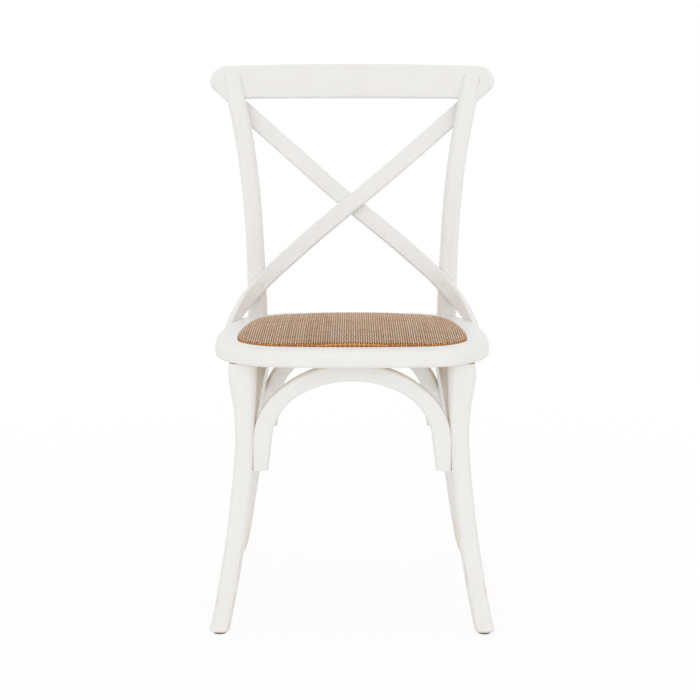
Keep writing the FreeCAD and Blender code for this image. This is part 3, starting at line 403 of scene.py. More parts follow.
    def worn_corners(self, graph: NodeGraph, along: Any, height: Any) -> bpy.types.NodeSocket:
        """Find the worn crown of the legs' rounded corners, where feet and brooms knock them.

        Args:
            graph: The material's nodes.
            along: Coordinates stretched along the grain.
            height: Height above the floor.

        Returns:
            Socket that is above 0 where the paint is worn.
        """
        normal = graph.add("ShaderNodeNewGeometry", output="Normal")
        turn = graph.add(VECTOR_MATH, (normal,), operation="ABSOLUTE")
        turn = graph.add("ShaderNodeSeparateXYZ", (turn,)).node.outputs
        crown = graph.add(MATH, (turn["X"], turn["Y"]), operation="MINIMUM")
        crown = graph.add(MAP_RANGE, self.corner_turn.of(crown))
        low = graph.add(MAP_RANGE, self.corner_height.of(height))
        stretch = graph.add(NOISE, self.corner_stretches.at(along))
        stretch = graph.add(MAP_RANGE, self.stretch_where.of(stretch))
        worn = graph.add(MATH, (stretch, low), operation="MULTIPLY")
        worn = graph.add(MATH, (worn, self.corner_strength), operation="MULTIPLY")
        return graph.add(MATH, (crown, worn), operation="MULTIPLY")

    def speckles(self, graph: NodeGraph, place: Any) -> bpy.types.NodeSocket:
        """Scatter specks of dirt in some areas.

        Args:
            graph: The material's nodes.
            place: Object coordinates, in metres.

        Returns:
            Socket that is 1 on a speck.
        """
        speck = graph.add(NOISE, self.specks.at(place))
        speck = graph.add(MAP_RANGE, self.speck_where.of(speck))
        area = graph.add(NOISE, self.speck_fields.at(place))
        area = graph.add(MAP_RANGE, self.field_where.of(area))
        return graph.add(MATH, (speck, area), operation="MULTIPLY")

    def painted_shade_places(self, graph: NodeGraph, height: Any) -> bpy.types.NodeSocket:
        """Find the closed-in places under the seat, where a warm painted shade darkens the paint.

        Args:
            graph: The material's nodes.
            height: Height above the floor.

        Returns:
            Socket that is 1 in the closest places.
        """
        openness = graph.add(
            "ShaderNodeAmbientOcclusion", {"Distance": self.shade_reach}, "AO",
            samples=self.shade_samples)
        closed_in = graph.add(MAP_RANGE, self.shade_openness.of(openness))
        under_seat = graph.add(MAP_RANGE, self.shade_height.of(height))
        return graph.add(MATH, (closed_in, under_seat), operation="MULTIPLY")


@dataclass(frozen=True)
class CaneStrand(Finish):
    """Half-round rattan core, varnished, each strand in a slightly different tan."""

    # Rattan core gives matt tan strands with fine fibres along them. Painted shade darkens them
    # where they dive under each other and on their steep sides, and a darker, warmer painted shade
    # lies on the rolled edge
    pale: str = "#FFEDD6"
    middle: str = "#FFD9B4"
    deep: str = "#D39F7C"
    # Colours of painted shade: in the strands' dips and on their steep sides, then on the rolled
    # edge
    stain_and_shade: str = "#613A26"
    rolled: str = "#DC9A4A"

    patches: Pattern = Pattern(14.29 * MM, 4, 0.7)
    fibres: Pattern = Pattern(0.6667 * MM, 3, 0.6)
    fibre_depth: float = 0.05 * MM
    strand_share: float = 0.28
    patch_share: float = 0.65
    fibre_share: float = 0.2
    to_middle: Span = Span(0.30, 0.52)
    to_pale: Span = Span(0.52, 0.80)

    # Strengths of the painted shade in the dips, on the steep sides and on the rolled edge
    sunk_strength: float = 0.62
    flank_turn: Span = Span(0.80, 0.35)
    flank_strength: float = 0.52
    rolled_shade_strength: float = 0.85

    def look(self, graph: NodeGraph, place: bpy.types.NodeSocket) -> dict[str, Any]:
        """Add strand colours, fibre streaks, and painted shade in the dips, on the sides and on the
        rolled edge.

        Args:
            graph: The material's nodes.
            place: Object coordinates, in metres.

        Returns:
            Sockets for colour and normal.
        """
        strand, rolled, sunk = (
            graph.add("ShaderNodeAttribute", output="Fac", attribute_name=name)
            for name in ("strand_tone", "rolled_edge_shade", "sunk"))
        patch = graph.add(NOISE, self.patches.at(place))
        fibre = graph.add(NOISE, self.fibres.at(place))
        tone = graph.add(MATH, (strand, self.strand_share), operation="MULTIPLY")
        for part, share in ((patch, self.patch_share), (fibre, self.fibre_share)):
            tone = graph.add(MATH, (part, share, tone), operation="MULTIPLY_ADD")
        normal = graph.add("ShaderNodeNewGeometry", output="Normal")
        upward = graph.add("ShaderNodeSeparateXYZ", (normal,), "Z")

        flank = graph.add(MAP_RANGE, self.flank_turn.of(upward))
        colour = coats(
            graph, self.deep,
            (graph.add(MAP_RANGE, self.to_middle.of(tone)), 1.0, self.middle),
            (graph.add(MAP_RANGE, self.to_pale.of(tone)), 1.0, self.pale),
            # Painted shade in the dips, on the steep sides and, darker and warmer, on the rolled
            # edge
            (sunk, self.sunk_strength, self.stain_and_shade),
            (flank, self.flank_strength, self.stain_and_shade),
            (rolled, self.rolled_shade_strength, self.rolled))
        relief = graph.add(BUMP, {"Distance": self.fibre_depth, "Height": fibre})
        return {"Base Color": colour, "Normal": relief}


@dataclass(frozen=True)
class CaneBacking(Finish):
    """The pad under the weave, seen only between the strands, painted dark as the shade there."""

    # Its dull, uneven dark brown is painted shade, for the little light that reaches between the
    # strands. On the rolled edge it is the varnished tan of strands turned down side by side
    gap_shade: str = "#4A3323"
    fibre: str = "#6B4B33"
    turned_down: str = "#A06A34"
    patches: Pattern = Pattern(3.333 * MM, 3, 0.6)
    depth: float = 0.2 * MM
    roll_turn: Span = Span(0.97, 0.80)

    def look(self, graph: NodeGraph, place: bpy.types.NodeSocket) -> dict[str, Any]:
        """Add the uneven brown and the tan of the rolled edge.

        Args:
            graph: The material's nodes.
            place: Object coordinates, in metres.

        Returns:
            Sockets for colour and normal.
        """
        patch = graph.add(NOISE, self.patches.at(place))
        normal = graph.add("ShaderNodeNewGeometry", output="Normal")
        upward = graph.add("ShaderNodeSeparateXYZ", (normal,), "Z")
        rolled = graph.add(MAP_RANGE, self.roll_turn.of(upward))
        colour = coats(
            graph, self.gap_shade, (patch, 1.0, self.fibre), (rolled, 1.0, self.turned_down))
        relief = graph.add(BUMP, {"Distance": self.depth, "Height": patch})
        return {"Base Color": colour, "Normal": relief}


@dataclass(frozen=True)
class Plywood(Finish):
    """Birch ply: face grain from side to side and thin plies at the edge."""

    # Sanded and left bare, so it is matt, with long grain on its faces and bands at its edge
    pale: str = "#C9A878"
    dark: str = "#A27E52"
    face_grain: Pattern = Pattern(7.692 * MM, 4, 0.6)
    grain_stretch: Place = (0.08, 1.0, 1.0)
    grain_depth: float = 0.1 * MM
    # One pale and one dark ply. At a scale of 1 Blender's wave repeats every tenth of pi
    ply_pair: float = 2.417 * MM
    grain_share: float = 0.7
    dark_where: Span = Span(0.35, 0.7)

    def look(self, graph: NodeGraph, place: bpy.types.NodeSocket) -> dict[str, Any]:
        """Add face grain and plies.

        Args:
            graph: The material's nodes.
            place: Object coordinates, in metres.

        Returns:
            Sockets for colour and normal.
        """
        along = graph.add(VECTOR_MATH, (place, self.grain_stretch), operation="MULTIPLY")
        grain = graph.add(NOISE, self.face_grain.at(along))
        plies = graph.add(
            "ShaderNodeTexWave", {"Vector": place, "Scale": math.pi / 10 / self.ply_pair}, "Fac",
            bands_direction="Z")
        tone = graph.add(MATH, (plies, 1 - self.grain_share), operation="MULTIPLY")
        tone = graph.add(MATH, (grain, self.grain_share, tone), operation="MULTIPLY_ADD")
        dark = graph.add(MAP_RANGE, self.dark_where.of(tone))
        colour = coats(graph, self.pale, (dark, 1.0, self.dark))
        relief = graph.add(BUMP, {"Distance": self.grain_depth, "Height": grain})
        return {"Base Color": colour, "Normal": relief}


@dataclass(frozen=True)
class TurnedMetal(Finish):
    """Zinc plated steel or brass with fine turning marks."""

    # Turned and tumbled fasteners: a broken metal gloss with duller, darker stains
    colour: str = "#B9B8B3"
    stained: str = "#959490"
    stains: Pattern = Pattern(2.381 * MM, 4, 0.6)
    stain_where: Span = Span(0.4, 0.75)
    stain_dull: float = 0.3
    turning_marks: Pattern = Pattern(0.3333 * MM, 2, 0.5)
    mark_depth: float = 0.02 * MM

    def look(self, graph: NodeGraph, place: bpy.types.NodeSocket) -> dict[str, Any]:
        """Add metal, stains and a fine scratch pattern.

        Args:
            graph: The material's nodes.
            place: Object coordinates, in metres.

        Returns:
            Metallic, and sockets for colour, roughness and normal.
        """
        stain_and_shade = graph.add(NOISE, self.stains.at(place))
        where = graph.add(MAP_RANGE, self.stain_where.of(stain_and_shade))
        colour = coats(graph, self.colour, (where, 1.0, self.stained))
        dull = graph.add(MATH, (stain_and_shade, self.stain_dull, self.roughness), operation="MULTIPLY_ADD")
        marks = graph.add(NOISE, self.turning_marks.at(place))
        relief = graph.add(BUMP, {"Distance": self.mark_depth, "Height": marks})
        return {"Metallic": 1.0, "Base Color": colour, "Roughness": dull, "Normal": relief}


@dataclass(frozen=True)
class MouldedNylon(Finish):
    """Grey-brown moulded plastic, scuffed by the floor."""

    # Moulded against a spark-worn tool, so it is dull and slightly pebbled, paler where scuffed
    colour: str = "#77716A"
    scuffed: str = "#948E86"
    scuffs: Pattern = Pattern(2.857 * MM, 5, 0.7)
    scuff_where: Span = Span(0.5, 0.7)
    pebbles: Pattern = Pattern(1.111 * MM, 3, 0.6)
    pebble_depth: float = 0.06 * MM

    def look(self, graph: NodeGraph, place: bpy.types.NodeSocket) -> dict[str, Any]:
        """Add grey-brown plastic with scuffs.

        Args:
            graph: The material's nodes.
            place: Object coordinates, in metres.

        Returns:
            Sockets for colour and normal.
        """
        scuff = graph.add(NOISE, self.scuffs.at(place))
        scuff = graph.add(MAP_RANGE, self.scuff_where.of(scuff))
        colour = coats(graph, self.colour, (scuff, 1.0, self.scuffed))
        pebble = graph.add(NOISE, self.pebbles.at(place))
        relief = graph.add(BUMP, {"Distance": self.pebble_depth, "Height": pebble})
        return {"Base Color": colour, "Normal": relief}


@dataclass(frozen=True)
class StudioFloor(Finish):
    """Plain pale floor that keeps the chair's shadow and turns white further out."""

    # Matt painted board, almost without gloss
    colour: str = "#FBFBFB"
    uneven: str = "#F8F8F8"
    clouds: Pattern = Pattern(500 * MM, 2, 0.5)
    gloss: float = 0.1
    white_distance: Span = Span(0.5, 2.2)
    lift: float = 0.88

    def look(self, graph: NodeGraph, place: bpy.types.NodeSocket) -> dict[str, Any]:
        """Add a plain, slightly uneven white.

        Args:
            graph: The material's nodes.
            place: Object coordinates, in metres.

        Returns:
            Gloss, and a socket for colour.
        """
        cloud = graph.add(NOISE, self.clouds.at(place))
        colour = coats(graph, self.colour, (cloud, 1.0, self.uneven))
        return {"Base Color": colour, "Specular IOR Level": self.gloss}

    def surface(self, graph: NodeGraph, place: bpy.types.NodeSocket) -> bpy.types.NodeSocket:
        """Add the board, lifted towards white where the background shows.

        Args:
            graph: The material's nodes.
            place: Object coordinates, in metres.

        Returns:
            The mixed shader's socket.
        """
        distance = graph.add(VECTOR_MATH, (place,), "Value", operation="LENGTH")
        far = graph.add(MAP_RANGE, self.white_distance.of(distance))
        share = graph.add(MATH, (far, 1 - self.lift, self.lift), operation="MULTIPLY_ADD")
        share = graph.add(MATH, (share, background_rays(graph)), operation="MULTIPLY")
        white = graph.add("ShaderNodeEmission", {"Color": linear("#FFFFFF"), "Strength": 1.0})
        return graph.add("ShaderNodeMixShader", (share, super().surface(graph, place), white))


@dataclass(frozen=True)
class Arc:
    """One arc of the seat's outline seen from above."""

    centre: Point
    radius: float
    start: float
    end: float

    def point(self, share: float, inset: float) -> Point:
        """Find a point of the arc, drawn inset inside.

        Args:
            share: Place along the arc from 0 to 1.
            inset: Distance inside the outline.

        Returns:
            X and Y.
        """
        angle = self.start + (self.end - self.start) * share
        reach = self.radius - inset
        return self.centre[0] + reach * math.cos(angle), self.centre[1] + reach * math.sin(angle)


@dataclass(frozen=True)
class SeatOutline:
    """Outline that the seat's opening is drawn inside of: eight arcs that meet without a corner.

    Its sizes are measured from the seat's middle.
    """

    half_width: float = 221 * MM
    widest_at: float = -44 * MM
    front: float = -203 * MM
    back: float = 218 * MM
    side_radius: float = 780 * MM
    front_radius: float = 1200 * MM
    back_radius: float = 774 * MM
    front_corner: float = 115 * MM
    back_corner: float = 113 * MM
    fewest_points: int = 4

    @staticmethod
    def crossing(
        first: Point, first_radius: float, second: Point, second_radius: float, side: int
    ) -> Point:
        """Find one of the points where two circles cross.

        Args:
            first: Centre of the first circle.
            first_radius: Its radius.
            second: Centre of the second circle.
            second_radius: Its radius.
            side: 1 or -1, for which of the two.

        Returns:
            X and Y.
        """
        gap_x, gap_y = second[0] - first[0], second[1] - first[1]
        gap = math.hypot(gap_x, gap_y)
        along = (first_radius**2 - second_radius**2 + gap**2) / (2 * gap)
        across = math.sqrt(first_radius**2 - along**2) * side
        x = first[0] + (gap_x * along - gap_y * across) / gap
        y = first[1] + (gap_y * along + gap_x * across) / gap
        return x, y

    @staticmethod
    def heading(start: Point, end: Point) -> float:
        """Give the angle from +X of the way from start to end, in radians."""
        return math.atan2(end[1] - start[1], end[0] - start[0])

    def arcs(self) -> list[Arc]:
        """Lay out the arcs anticlockwise from the right side.

        Returns:
            Eight arcs in the model's frame.
        """
        side = (self.half_width - self.side_radius, self.widest_at)
        back = (0.0, self.back - self.back_radius)
        front = (0.0, self.front + self.front_radius)
        back_corner = self.crossing(
            side, self.side_radius - self.back_corner,
            back, self.back_radius - self.back_corner, 1)
        front_corner = self.crossing(
            side, self.side_radius - self.front_corner,
            front, self.front_radius - self.front_corner, -1)
        low, high = self.heading(side, front_corner), self.heading(side, back_corner)
        back_start = self.heading(back, back_corner)
        front_end = self.heading(front, front_corner)
        half, turn = math.pi, 2 * math.pi
        far_back, far_side, far_front = (
            (-centre[0], centre[1]) for centre in (back_corner, side, front_corner))
        laid_out = (
            (side, self.side_radius, low, high),
            (back_corner, self.back_corner, high, back_start),
            (back, self.back_radius, back_start, half - back_start),
            (far_back, self.back_corner, half - back_start, half - high),
            (far_side, self.side_radius, half - high, half - low),
            (far_front, self.front_corner, half - low, half - front_end),
            (front, self.front_radius, half - front_end, turn + front_end),
            (front_corner, self.front_corner, front_end + turn, low + turn),
        )
        return [
            Arc((centre[0], centre[1] + SEAT_MIDDLE_Y), radius, start, end)
            for centre, radius, start, end in laid_out]

    def ring(self, inset: float, spacing: float) -> list[Point]:
        """Sample the outline at an inset, with the same count at every inset.

        Args:
            inset: Distance inside the outline.
            spacing: Rough distance between points on the full outline.

        Returns:
            Points anticlockwise.
        """
        points = []
        for arc in self.arcs():
            length = arc.radius * (arc.end - arc.start)
            count = max(self.fewest_points, round(length / spacing))
            points += [arc.point(step / count, inset) for step in range(count)]
        return points


@dataclass(frozen=True)
class StrandSizes:
    """Sizes of one family of strands, in metres."""

    pitch: float
    crossing_pitch: float
    step: float
    half_width: float
    half_thickness: float
    swing: float
    lift: float
    reach: float = 200 * MM

    def inputs(self) -> dict[str, float]:
        """Name the sizes as the strands' node tree does.

        Returns:
            Value of each of the tree's inputs.
        """
        return {
            "Middle": SEAT_MIDDLE_Y,
            "Pitch": self.pitch,
            "Crossing pitch": self.crossing_pitch,
            "Step": self.step,
            "Reach": self.reach,
            "Half width": self.half_width,
            "Half thickness": self.half_thickness,
            "Swing": self.swing,
            "Lift": self.lift,
        }


@dataclass(frozen=True)
class StrandTree:
    """Geometry nodes that lay strands over a surface, over and under the ones they cross."""

    family: Weave
    material: bpy.types.Material
    ray_start: float = 1.0
    ray_length: float = 2.0
    # Where the painted shade on the rolled edge lies, how much reaches the sides, and where the
    # dips are shaded
    turned_down: Span = Span(0.985, 0.80)
    facing_front: Span = Span(-0.02, -0.30)
    side_share: float = 0.2
    sunk_wave: Span = Span(0.5, -1.0)
    tuck: float = 4 * MM
    section_sides: int = 6

    def build(self, input_names: list[str]) -> bpy.types.NodeTree:
        """Make the node tree.

        Args:
            input_names: Names of the tree's sizes.

        Returns:
            Tree that turns the form's mesh into strands.
        """
        tree = bpy.data.node_groups.new(f"strands of {self.family.piece}", "GeometryNodeTree")
        tree.interface.new_socket("Geometry", in_out="INPUT", socket_type="NodeSocketGeometry")
        for name in input_names:
            tree.interface.new_socket(name, in_out="INPUT", socket_type="NodeSocketFloat")
        tree.interface.new_socket("Geometry", in_out="OUTPUT", socket_type="NodeSocketGeometry")
        graph = NodeGraph(tree)
        size = graph.add("NodeGroupInput").node.outputs
        origin = graph.add("ShaderNodeCombineXYZ", {"Y": size["Middle"]})
        lines = self.lay_lines(graph, size, origin)
        curves = self.seat_on_form(graph, size, origin, lines)
        graph.add("NodeGroupOutput", (self.round_out(graph, size, curves),))
        return tree

    def lay_lines(self, graph: NodeGraph, size: Any, origin: Any) -> bpy.types.NodeSocket:
        """Set out straight, evenly spaced lines under the ray casts.

        Args:
            graph: The tree's nodes.
            size: The tree's inputs.
            origin: Middle of the seat.

        Returns:
            Geometry socket with the lines as curves.
        """
        pitches = graph.add(MATH, (size["Reach"], size["Pitch"]), operation="DIVIDE")
        half_count = graph.add(MATH, (pitches,), operation="FLOOR")
        half_row = graph.add(MATH, (half_count, size["Pitch"]), operation="MULTIPLY")
        count = graph.add(MATH, (half_count, 2.0, 1.0), operation="MULTIPLY_ADD")
        back, before = (
            graph.add(MATH, (length, -1.0), operation="MULTIPLY")
            for length in (size["Reach"], half_row))
        start, end, first, apart = (
            graph.add(VECTOR_MATH, {0: direction, "Scale": length}, operation="SCALE")
            for direction, length in (
                (self.family.along, back), (self.family.along, size["Reach"]),
                (self.family.across, before), (self.family.across, size["Pitch"])))
        line = graph.add("GeometryNodeCurvePrimitiveLine", {"Start": start, "End": end})
        fine = graph.add(
            "GeometryNodeResampleCurve", {"Curve": line, "Length": size["Step"]}, mode="LENGTH")
        corner = graph.add(VECTOR_MATH, (origin, first), operation="ADD")
        row = graph.add(
            "GeometryNodeMeshLine", {"Count": count, "Start Location": corner, "Offset": apart})
        copies = graph.add("GeometryNodeInstanceOnPoints", {"Points": row, "Instance": fine})
        return graph.add("GeometryNodeRealizeInstances", {"Geometry": copies})

    def seat_on_form(
        self, graph: NodeGraph, size: Any, origin: Any, lines: bpy.types.NodeSocket
    ) -> bpy.types.NodeSocket:
        """Drop the lines on the form, wave them over and under, and note each point's looks.

        Args:
            graph: The tree's nodes.
            size: The tree's inputs.
            origin: Middle of the seat.
            lines: Geometry socket with the lines.

        Returns:
            Geometry socket with the strands' curves.
        """
        position = graph.add("GeometryNodeInputPosition")
        local = graph.add(VECTOR_MATH, (position, origin), operation="SUBTRACT")
        sideways, lengthwise = (
            graph.add(VECTOR_MATH, (local, direction), "Value", operation="DOT_PRODUCT")
            for direction in (self.family.across, self.family.along))
        index = graph.add(MATH, (sideways, size["Pitch"]), operation="DIVIDE")
        index = graph.add(MATH, (index,), operation="ROUND")
        phase = graph.add(MATH, (lengthwise, size["Crossing pitch"]), operation="DIVIDE")
        phase = graph.add(MATH, (phase, index), operation="ADD")
        phase = graph.add(MATH, (phase, math.pi), operation="MULTIPLY")
        wave = graph.add(MATH, (phase,), operation="COSINE")

        above = graph.add(VECTOR_MATH, (position, (0.0, 0.0, self.ray_start)), operation="ADD")
        ray = graph.add(
            "GeometryNodeRaycast",
            {
                "Target Geometry": size["Geometry"],
                "Source Position": above,
                "Ray Direction": (0.0, 0.0, -1.0),
                "Ray Length": self.ray_length,
            },
        ).node.outputs
        missed = graph.add("FunctionNodeBooleanMath", (ray["Is Hit"],), operation="NOT")
        kept = graph.add(
            "GeometryNodeDeleteGeometry", {"Geometry": lines, "Selection": missed}, domain="POINT")

        # The random tone is the node's second output, its float
        tone = graph.add(
            "FunctionNodeRandomValue", {"ID": index, "Seed": self.family.seed}, 1,
            data_type="FLOAT")
        facing = graph.add("ShaderNodeSeparateXYZ", (ray["Hit Normal"],)).node.outputs
        down = graph.add(MAP_RANGE, self.turned_down.of(facing["Z"]))
        front = graph.add(MAP_RANGE, self.facing_front.of(facing["Y"]))
        front = graph.add(
            MATH, (front, 1 - self.side_share, self.side_share),
            operation="MULTIPLY_ADD")
        # Each point's marks: its strand's tone, the painted shade on the rolled edge, strongest
        # where it faces front, and the painted shade in the dips
        facts = {
            "strand_tone": tone,
            "rolled_edge_shade": graph.add(MATH, (down, front), operation="MULTIPLY"),
            "sunk": graph.add(MAP_RANGE, self.sunk_wave.of(wave)),
        }
        for name, value in facts.items():
            kept = graph.add(
                "GeometryNodeStoreNamedAttribute",
                {"Geometry": kept, "Name": name, "Value": value}, data_type="FLOAT", domain="POINT")

        height = graph.add(MATH, (wave, size["Swing"], size["Lift"]), operation="MULTIPLY_ADD")
        offset = graph.add(VECTOR_MATH, {0: ray["Hit Normal"], "Scale": height}, operation="SCALE")
        target = graph.add(VECTOR_MATH, (ray["Hit Position"], offset), operation="ADD")
        seated = graph.add("GeometryNodeSetPosition", {"Geometry": kept, "Position": target})
        ends = graph.add("GeometryNodeCurveEndpointSelection", {"Start Size": 1, "End Size": 1})
        return graph.add(
            "GeometryNodeSetPosition",
            {"Geometry": seated, "Selection": ends, "Offset": (0.0, 0.0, -self.tuck)})

    def round_out(
        self, graph: NodeGraph, size: Any, curves: bpy.types.NodeSocket
    ) -> bpy.types.NodeSocket:
        """Give the curves a flattened round section and their material.

        Args:
            graph: The tree's nodes.
            size: The tree's inputs.
            curves: Geometry socket with the strands' curves.

        Returns:
            Geometry socket with the finished strands.
        """
        upright = graph.add("GeometryNodeSetCurveNormal", {"Curve": curves}, mode="Z_UP")
        circle = graph.add(
            "GeometryNodeCurvePrimitiveCircle", {"Resolution": self.section_sides, "Radius": 1.0})
        flattened = graph.add(
            "ShaderNodeCombineXYZ", (size["Half thickness"], size["Half width"], 1.0))
        section = graph.add("GeometryNodeTransform", {"Geometry": circle, "Scale": flattened})
        solid = graph.add(
            "GeometryNodeCurveToMesh",
            {"Curve": upright, "Profile Curve": section, "Fill Caps": True})
        smooth = graph.add("GeometryNodeSetShadeSmooth", {"Geometry": solid})
        whole = graph.add("GeometryNodeRealizeInstances", {"Geometry": smooth})
        return graph.add("GeometryNodeSetMaterial", {"Geometry": whole, "Material": self.material})


@dataclass(frozen=True)
class SeatPad:
    """The crowned drop-in pad: a rolled form with cane ribs woven over and under hidden stakes."""

    outline: SeatOutline = SeatOutline()
    inset: float = 38.3 * MM
    bottom: float = 439.4 * MM
    crown_top: float = 464.2 * MM
    crown_radius: float = 2850 * MM
    roll: float = 5.0 * MM
    roll_steps: int = 8
    spacing: float = 6 * MM
    # Size of each ring of the crown, as a share of the rolled edge
    ring_shares: tuple[float, ...] = (0.97, 0.92, 0.84, 0.74, 0.62, 0.49, 0.36, 0.22, 0.09)
    ribs: StrandSizes = StrandSizes(
        pitch=3.7 * MM, crossing_pitch=9.6 * MM, step=2.4 * MM,
        half_width=1.42 * MM, half_thickness=0.9 * MM, swing=0.6 * MM, lift=0.6 * MM)
    stakes: StrandSizes = StrandSizes(
        pitch=9.6 * MM, crossing_pitch=3.7 * MM, step=1.85 * MM,
        half_width=1.3 * MM, half_thickness=0.6 * MM, swing=-0.45 * MM, lift=0.35 * MM)
    backing: Finish = CaneBacking("cane weave, inner side", roughness=0.85)
    cane: Finish = CaneStrand("woven cane", roughness=0.48)

    def surface_height(self, x: float, y: float) -> float:
        """Find the crown's height at a point.

        Args:
            x: Distance from the middle plane.
            y: Depth in the model's frame.

        Returns:
            Height above the floor.
        """
        distance_squared = x * x + (y - SEAT_MIDDLE_Y) ** 2
        return self.crown_top - self.crown_radius + math.sqrt(
            self.crown_radius**2 - distance_squared)

    def rings(self) -> list[list[Vector]]:
        """Lay out the form's rings, from its skirt over the rolled edge to the middle.

        Returns:
            Rings with the same count of points.
        """
        skirt = self.outline.ring(self.inset, self.spacing)
        rings = [[Vector((x, y, self.bottom)) for x, y in skirt]]
        for step in range(self.roll_steps + 1):
            angle = math.radians(90 * step / self.roll_steps)
            inset = self.inset + self.roll * (1 - math.cos(angle))
            drop = self.roll * (1 - math.sin(angle))
            rings.append([
                Vector((x, y, self.surface_height(x, y) - drop))
                for x, y in self.outline.ring(inset, self.spacing)])
        edge = self.outline.ring(self.inset + self.roll, self.spacing)
        for share in self.ring_shares:
            ring = [(x * share, SEAT_MIDDLE_Y + (y - SEAT_MIDDLE_Y) * share) for x, y in edge]
            rings.append([Vector((x, y, self.surface_height(x, y))) for x, y in ring])
        return rings

    def build_form(self) -> bpy.types.Object:
        """Model the pad under the strands.

        Returns:
            The form's object.
        """
        rings = self.rings()
        count = len(rings[0])
        faces = [
            (k * count + i, k * count + (i + 1) % count,
             (k + 1) * count + (i + 1) % count, (k + 1) * count + i)
            for k in range(len(rings) - 1) for i in range(count)]
        faces.append(tuple(range((len(rings) - 1) * count, len(rings) * count)))
        faces.append(tuple(reversed(range(count))))
        mesh = bpy.data.meshes.new("seat_pad_form")
        mesh.from_pydata([point for ring in rings for point in ring], [], faces)
        mesh.validate()
        mesh.shade_smooth()
        mesh.materials.append(self.backing.material())
        form = bpy.data.objects.new("seat_pad_form", mesh)
        bpy.context.scene.collection.objects.link(form)
        return form

    def build_strands(
        self, form: bpy.types.Object, family: Weave, material: bpy.types.Material
    ) -> bpy.types.Object:
        """Weave one family of strands over the form.

        Args:
            form: The pad's form.
            family: Which way the strands run.
            material: Cane material.

        Returns:
            The strands' object, a plain mesh.
        """
        values = (self.ribs if family is Weave.RIBS else self.stakes).inputs()
        strands = bpy.data.objects.new(family.piece, form.data.copy())
        bpy.context.scene.collection.objects.link(strands)
        tree = StrandTree(family, material).build(list(values))
        modifier = strands.modifiers.new("strands", "NODES")
        modifier.node_group = tree
        for item in tree.interface.items_tree:
            if item.item_type == "SOCKET" and item.in_out == "INPUT" and item.name in values:
                modifier[item.identifier] = values[item.name]
        depsgraph = bpy.context.evaluated_depsgraph_get()
        mesh = bpy.data.meshes.new_from_object(
            strands.evaluated_get(depsgraph), depsgraph=depsgraph)
        strands.modifiers.clear()
        strands.data = mesh
        return strands

    def build(self) -> list[bpy.types.Object]:
        """Returns:
            The form and the two families of strands.
        """
        form = self.build_form()
        cane = self.cane.material()
        strands = [self.build_strands(form, family, cane) for family in Weave]
        for piece in [form, *strands]:
            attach(piece, "root")
        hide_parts("woven_seat_cover", "seat_foam")
        for piece in strands:
            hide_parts("woven_seat_cover")
        return [form, *strands]


@dataclass(frozen=True)
class SubAssembly:
    """Part of the chair whose nodes keep their own meshes, and the finish of each group of them."""

    name: str
    groups: tuple[tuple[Finish, tuple[str, ...]], ...]

    def dress(
        self, nodes: dict[str, bpy.types.Object], made: dict[str, bpy.types.Material]
    ) -> None:
        """Give every node its finish.

        Args:
            nodes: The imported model's nodes by name.
            made: Materials made so far by name, which this adds to.
        """
        for finish, pieces in self.groups:
            if finish.name not in made:
                made[finish.name] = finish.material()
            for piece in pieces:
                mesh = nodes[piece].data
                mesh.materials.clear()
                mesh.materials.append(made[finish.name])
                LOG.info("%s: %s in %s", self.name, piece, finish.name)


PAINT_ACROSS = PaintedWood("white paint, grain from side to side", 0.42, Grain.ALONG_X)
PAINT_DEEP = PaintedWood("white paint, grain from front to back", 0.42, Grain.ALONG_Y)
PAINT_UPRIGHT = PaintedWood("white paint, upright grain", 0.42, Grain.ALONG_Z)
STEEL = TurnedMetal("zinc plated steel", 0.22)
BRASS = TurnedMetal("brass insert", 0.22, "#B08D4A", "#8E713A")
NYLON = MouldedNylon("moulded nylon glide", 0.6)
BIRCH_PLY = Plywood("birch plywood", 0.6)

SUB_ASSEMBLIES = (
    SubAssembly("seat ring and hoops", (
        (PAINT_ACROSS, ("seat_frame", "front_arch", "rear_arch")),
        (PAINT_DEEP, ("left_arch", "right_arch")),
        (STEEL, ("arch_foot_screws", "arch_crown_screws")))),
    SubAssembly("legs", (
        (PAINT_UPRIGHT, ("front_leg_left", "front_leg_right", "rear_leg_left", "rear_leg_right")),
        (STEEL, ("post_bolts", "post_bolt_washers", "glide_nails")),
        (BRASS, ("post_bolt_inserts",)),
        (NYLON, ("glide_front_left", "glide_front_right", "glide_rear_left", "glide_rear_right")))),
    SubAssembly("back", (
        (PAINT_ACROSS, ("crest_rail",)),
        (PAINT_UPRIGHT, ("slat_front", "slat_back", "slat_plugs", "crest_rail_plugs")),
        (STEEL, (
            "slat_top_screws", "slat_post_screws", "slat_foot_screws", "slat_crossing_screw",
            "crest_rail_screws")))),
    SubAssembly("pad board", (
        (BIRCH_PLY, ("seat_board",)),
        (STEEL, ("seat_board_screws",)))),
)


@dataclass(frozen=True)
class Softbox:
    """A square soft white light."""

    name: str
    place: Place
    width: float
    watts: float

    def hang(self, aim: Place) -> None:
        """Add the light, turned towards a point.

        Args:
            aim: The point.
        """
        data = bpy.data.lights.new(self.name, "AREA")
        data.shape = "SQUARE"
        data.size = self.width
        data.energy = self.watts
        lamp = bpy.data.objects.new(self.name, data)
        lamp.location = self.place
        beam = Vector(aim) - Vector(self.place)
        lamp.rotation_euler = beam.to_track_quat("-Z", "Y").to_euler()
        bpy.context.scene.collection.objects.link(lamp)


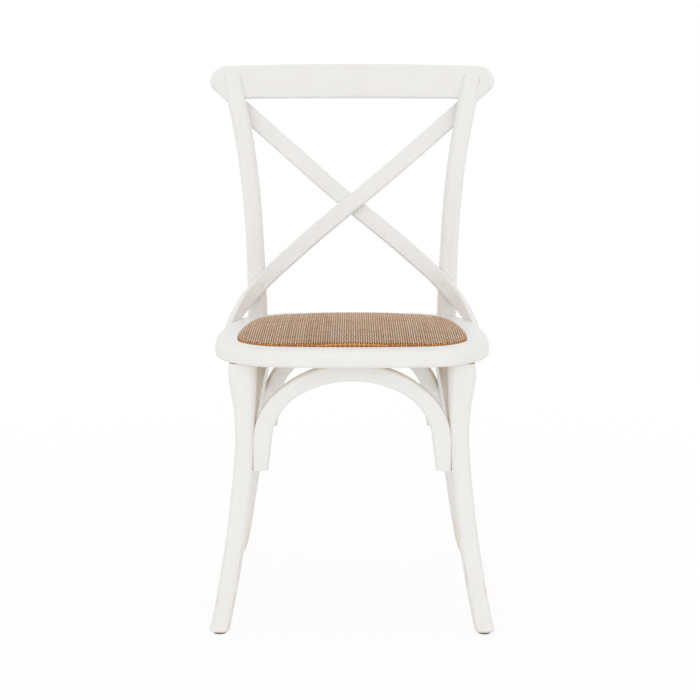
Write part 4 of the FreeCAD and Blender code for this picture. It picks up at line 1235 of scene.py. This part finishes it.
@dataclass(frozen=True)
class Studio:
    """Plain white studio and the camera at the photograph's angle."""

    distance: float = 2864.5 * MM
    height: float = 898.5 * MM
    pitch: float = math.radians(9.436)
    pixels_per_radian: float = 1750.2
    frame_pixels: float = 700.0
    off_centre_pixels: float = 2.2
    sensor_millimetres: float = 36.0
    view_reach: float = 60.0
    floor_half: float = 12.0
    floor: Finish = StudioFloor("studio floor", 0.9)
    fill: str = "#FFFEFC"
    fill_strength: float = 0.94
    aim: Place = (0.0, 0.0, 0.45)
    softboxes: tuple[Softbox, ...] = (
        Softbox("left_light", (-2.0, -3.4, 1.4), 2.2, 9.0),
        Softbox("right_light", (1.7, -3.6, 1.2), 2.2, 9.0),
        Softbox("top_light", (0.0, 0.6, 3.4), 2.6, 3.0))

    def place_camera(self) -> None:
        """Set the camera where the photograph was taken from."""
        data = bpy.data.cameras.new("camera")
        data.sensor_width = self.sensor_millimetres
        data.lens = self.sensor_millimetres * self.pixels_per_radian / self.frame_pixels
        data.clip_end = self.view_reach
        camera = bpy.data.objects.new("camera", data)
        camera.location = (0.0, SEAT_MIDDLE_Y - self.distance, self.height)
        turn = math.atan(self.off_centre_pixels / self.pixels_per_radian)
        camera.rotation_euler = (math.pi / 2 - self.pitch, 0.0, turn)
        bpy.context.scene.collection.objects.link(camera)
        bpy.context.scene.camera = camera

    def lay_floor(self) -> None:
        """Lay a wide pale floor."""
        half = self.floor_half
        corner_points = [(-half, -half, 0), (half, -half, 0), (half, half, 0), (-half, half, 0)]
        mesh = bpy.data.meshes.new("studio_floor")
        mesh.from_pydata(corner_points, [], [(0, 1, 2, 3)])
        mesh.materials.append(self.floor.material())
        floor = bpy.data.objects.new("studio_floor", mesh)
        bpy.context.scene.collection.objects.link(floor)

    def light(self) -> None:
        """Light the room evenly from all sides, a little stronger from the front and above."""
        world = bpy.data.worlds.new("studio")
        world.use_nodes = True
        graph = NodeGraph(world.node_tree)
        fill = graph.add(
            "ShaderNodeBackground", {"Color": linear(self.fill), "Strength": self.fill_strength})
        white = graph.add("ShaderNodeBackground", {"Color": linear("#FFFFFF"), "Strength": 1.0})
        both = graph.add("ShaderNodeMixShader", (background_rays(graph), fill, white))
        graph.add("ShaderNodeOutputWorld", {"Surface": both})
        bpy.context.scene.world = world
        for softbox in self.softboxes:
            softbox.hang(self.aim)
        bpy.context.scene.view_settings.view_transform = "Standard"


def main() -> None:
    """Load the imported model, dress it, and set the studio."""
    for item in list(bpy.data.objects):
        bpy.data.objects.remove(item)
    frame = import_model()
    made: dict[str, bpy.types.Material] = {}
    for part in SUB_ASSEMBLIES:
        part.dress(frame["nodes"], made)
    for piece in SeatPad().build():
        LOG.info("pad: %s with %d faces", piece.name, len(piece.data.polygons))

    studio = Studio()
    studio.lay_floor()
    studio.light()
    studio.place_camera()


if __name__ == "__main__":
    main()
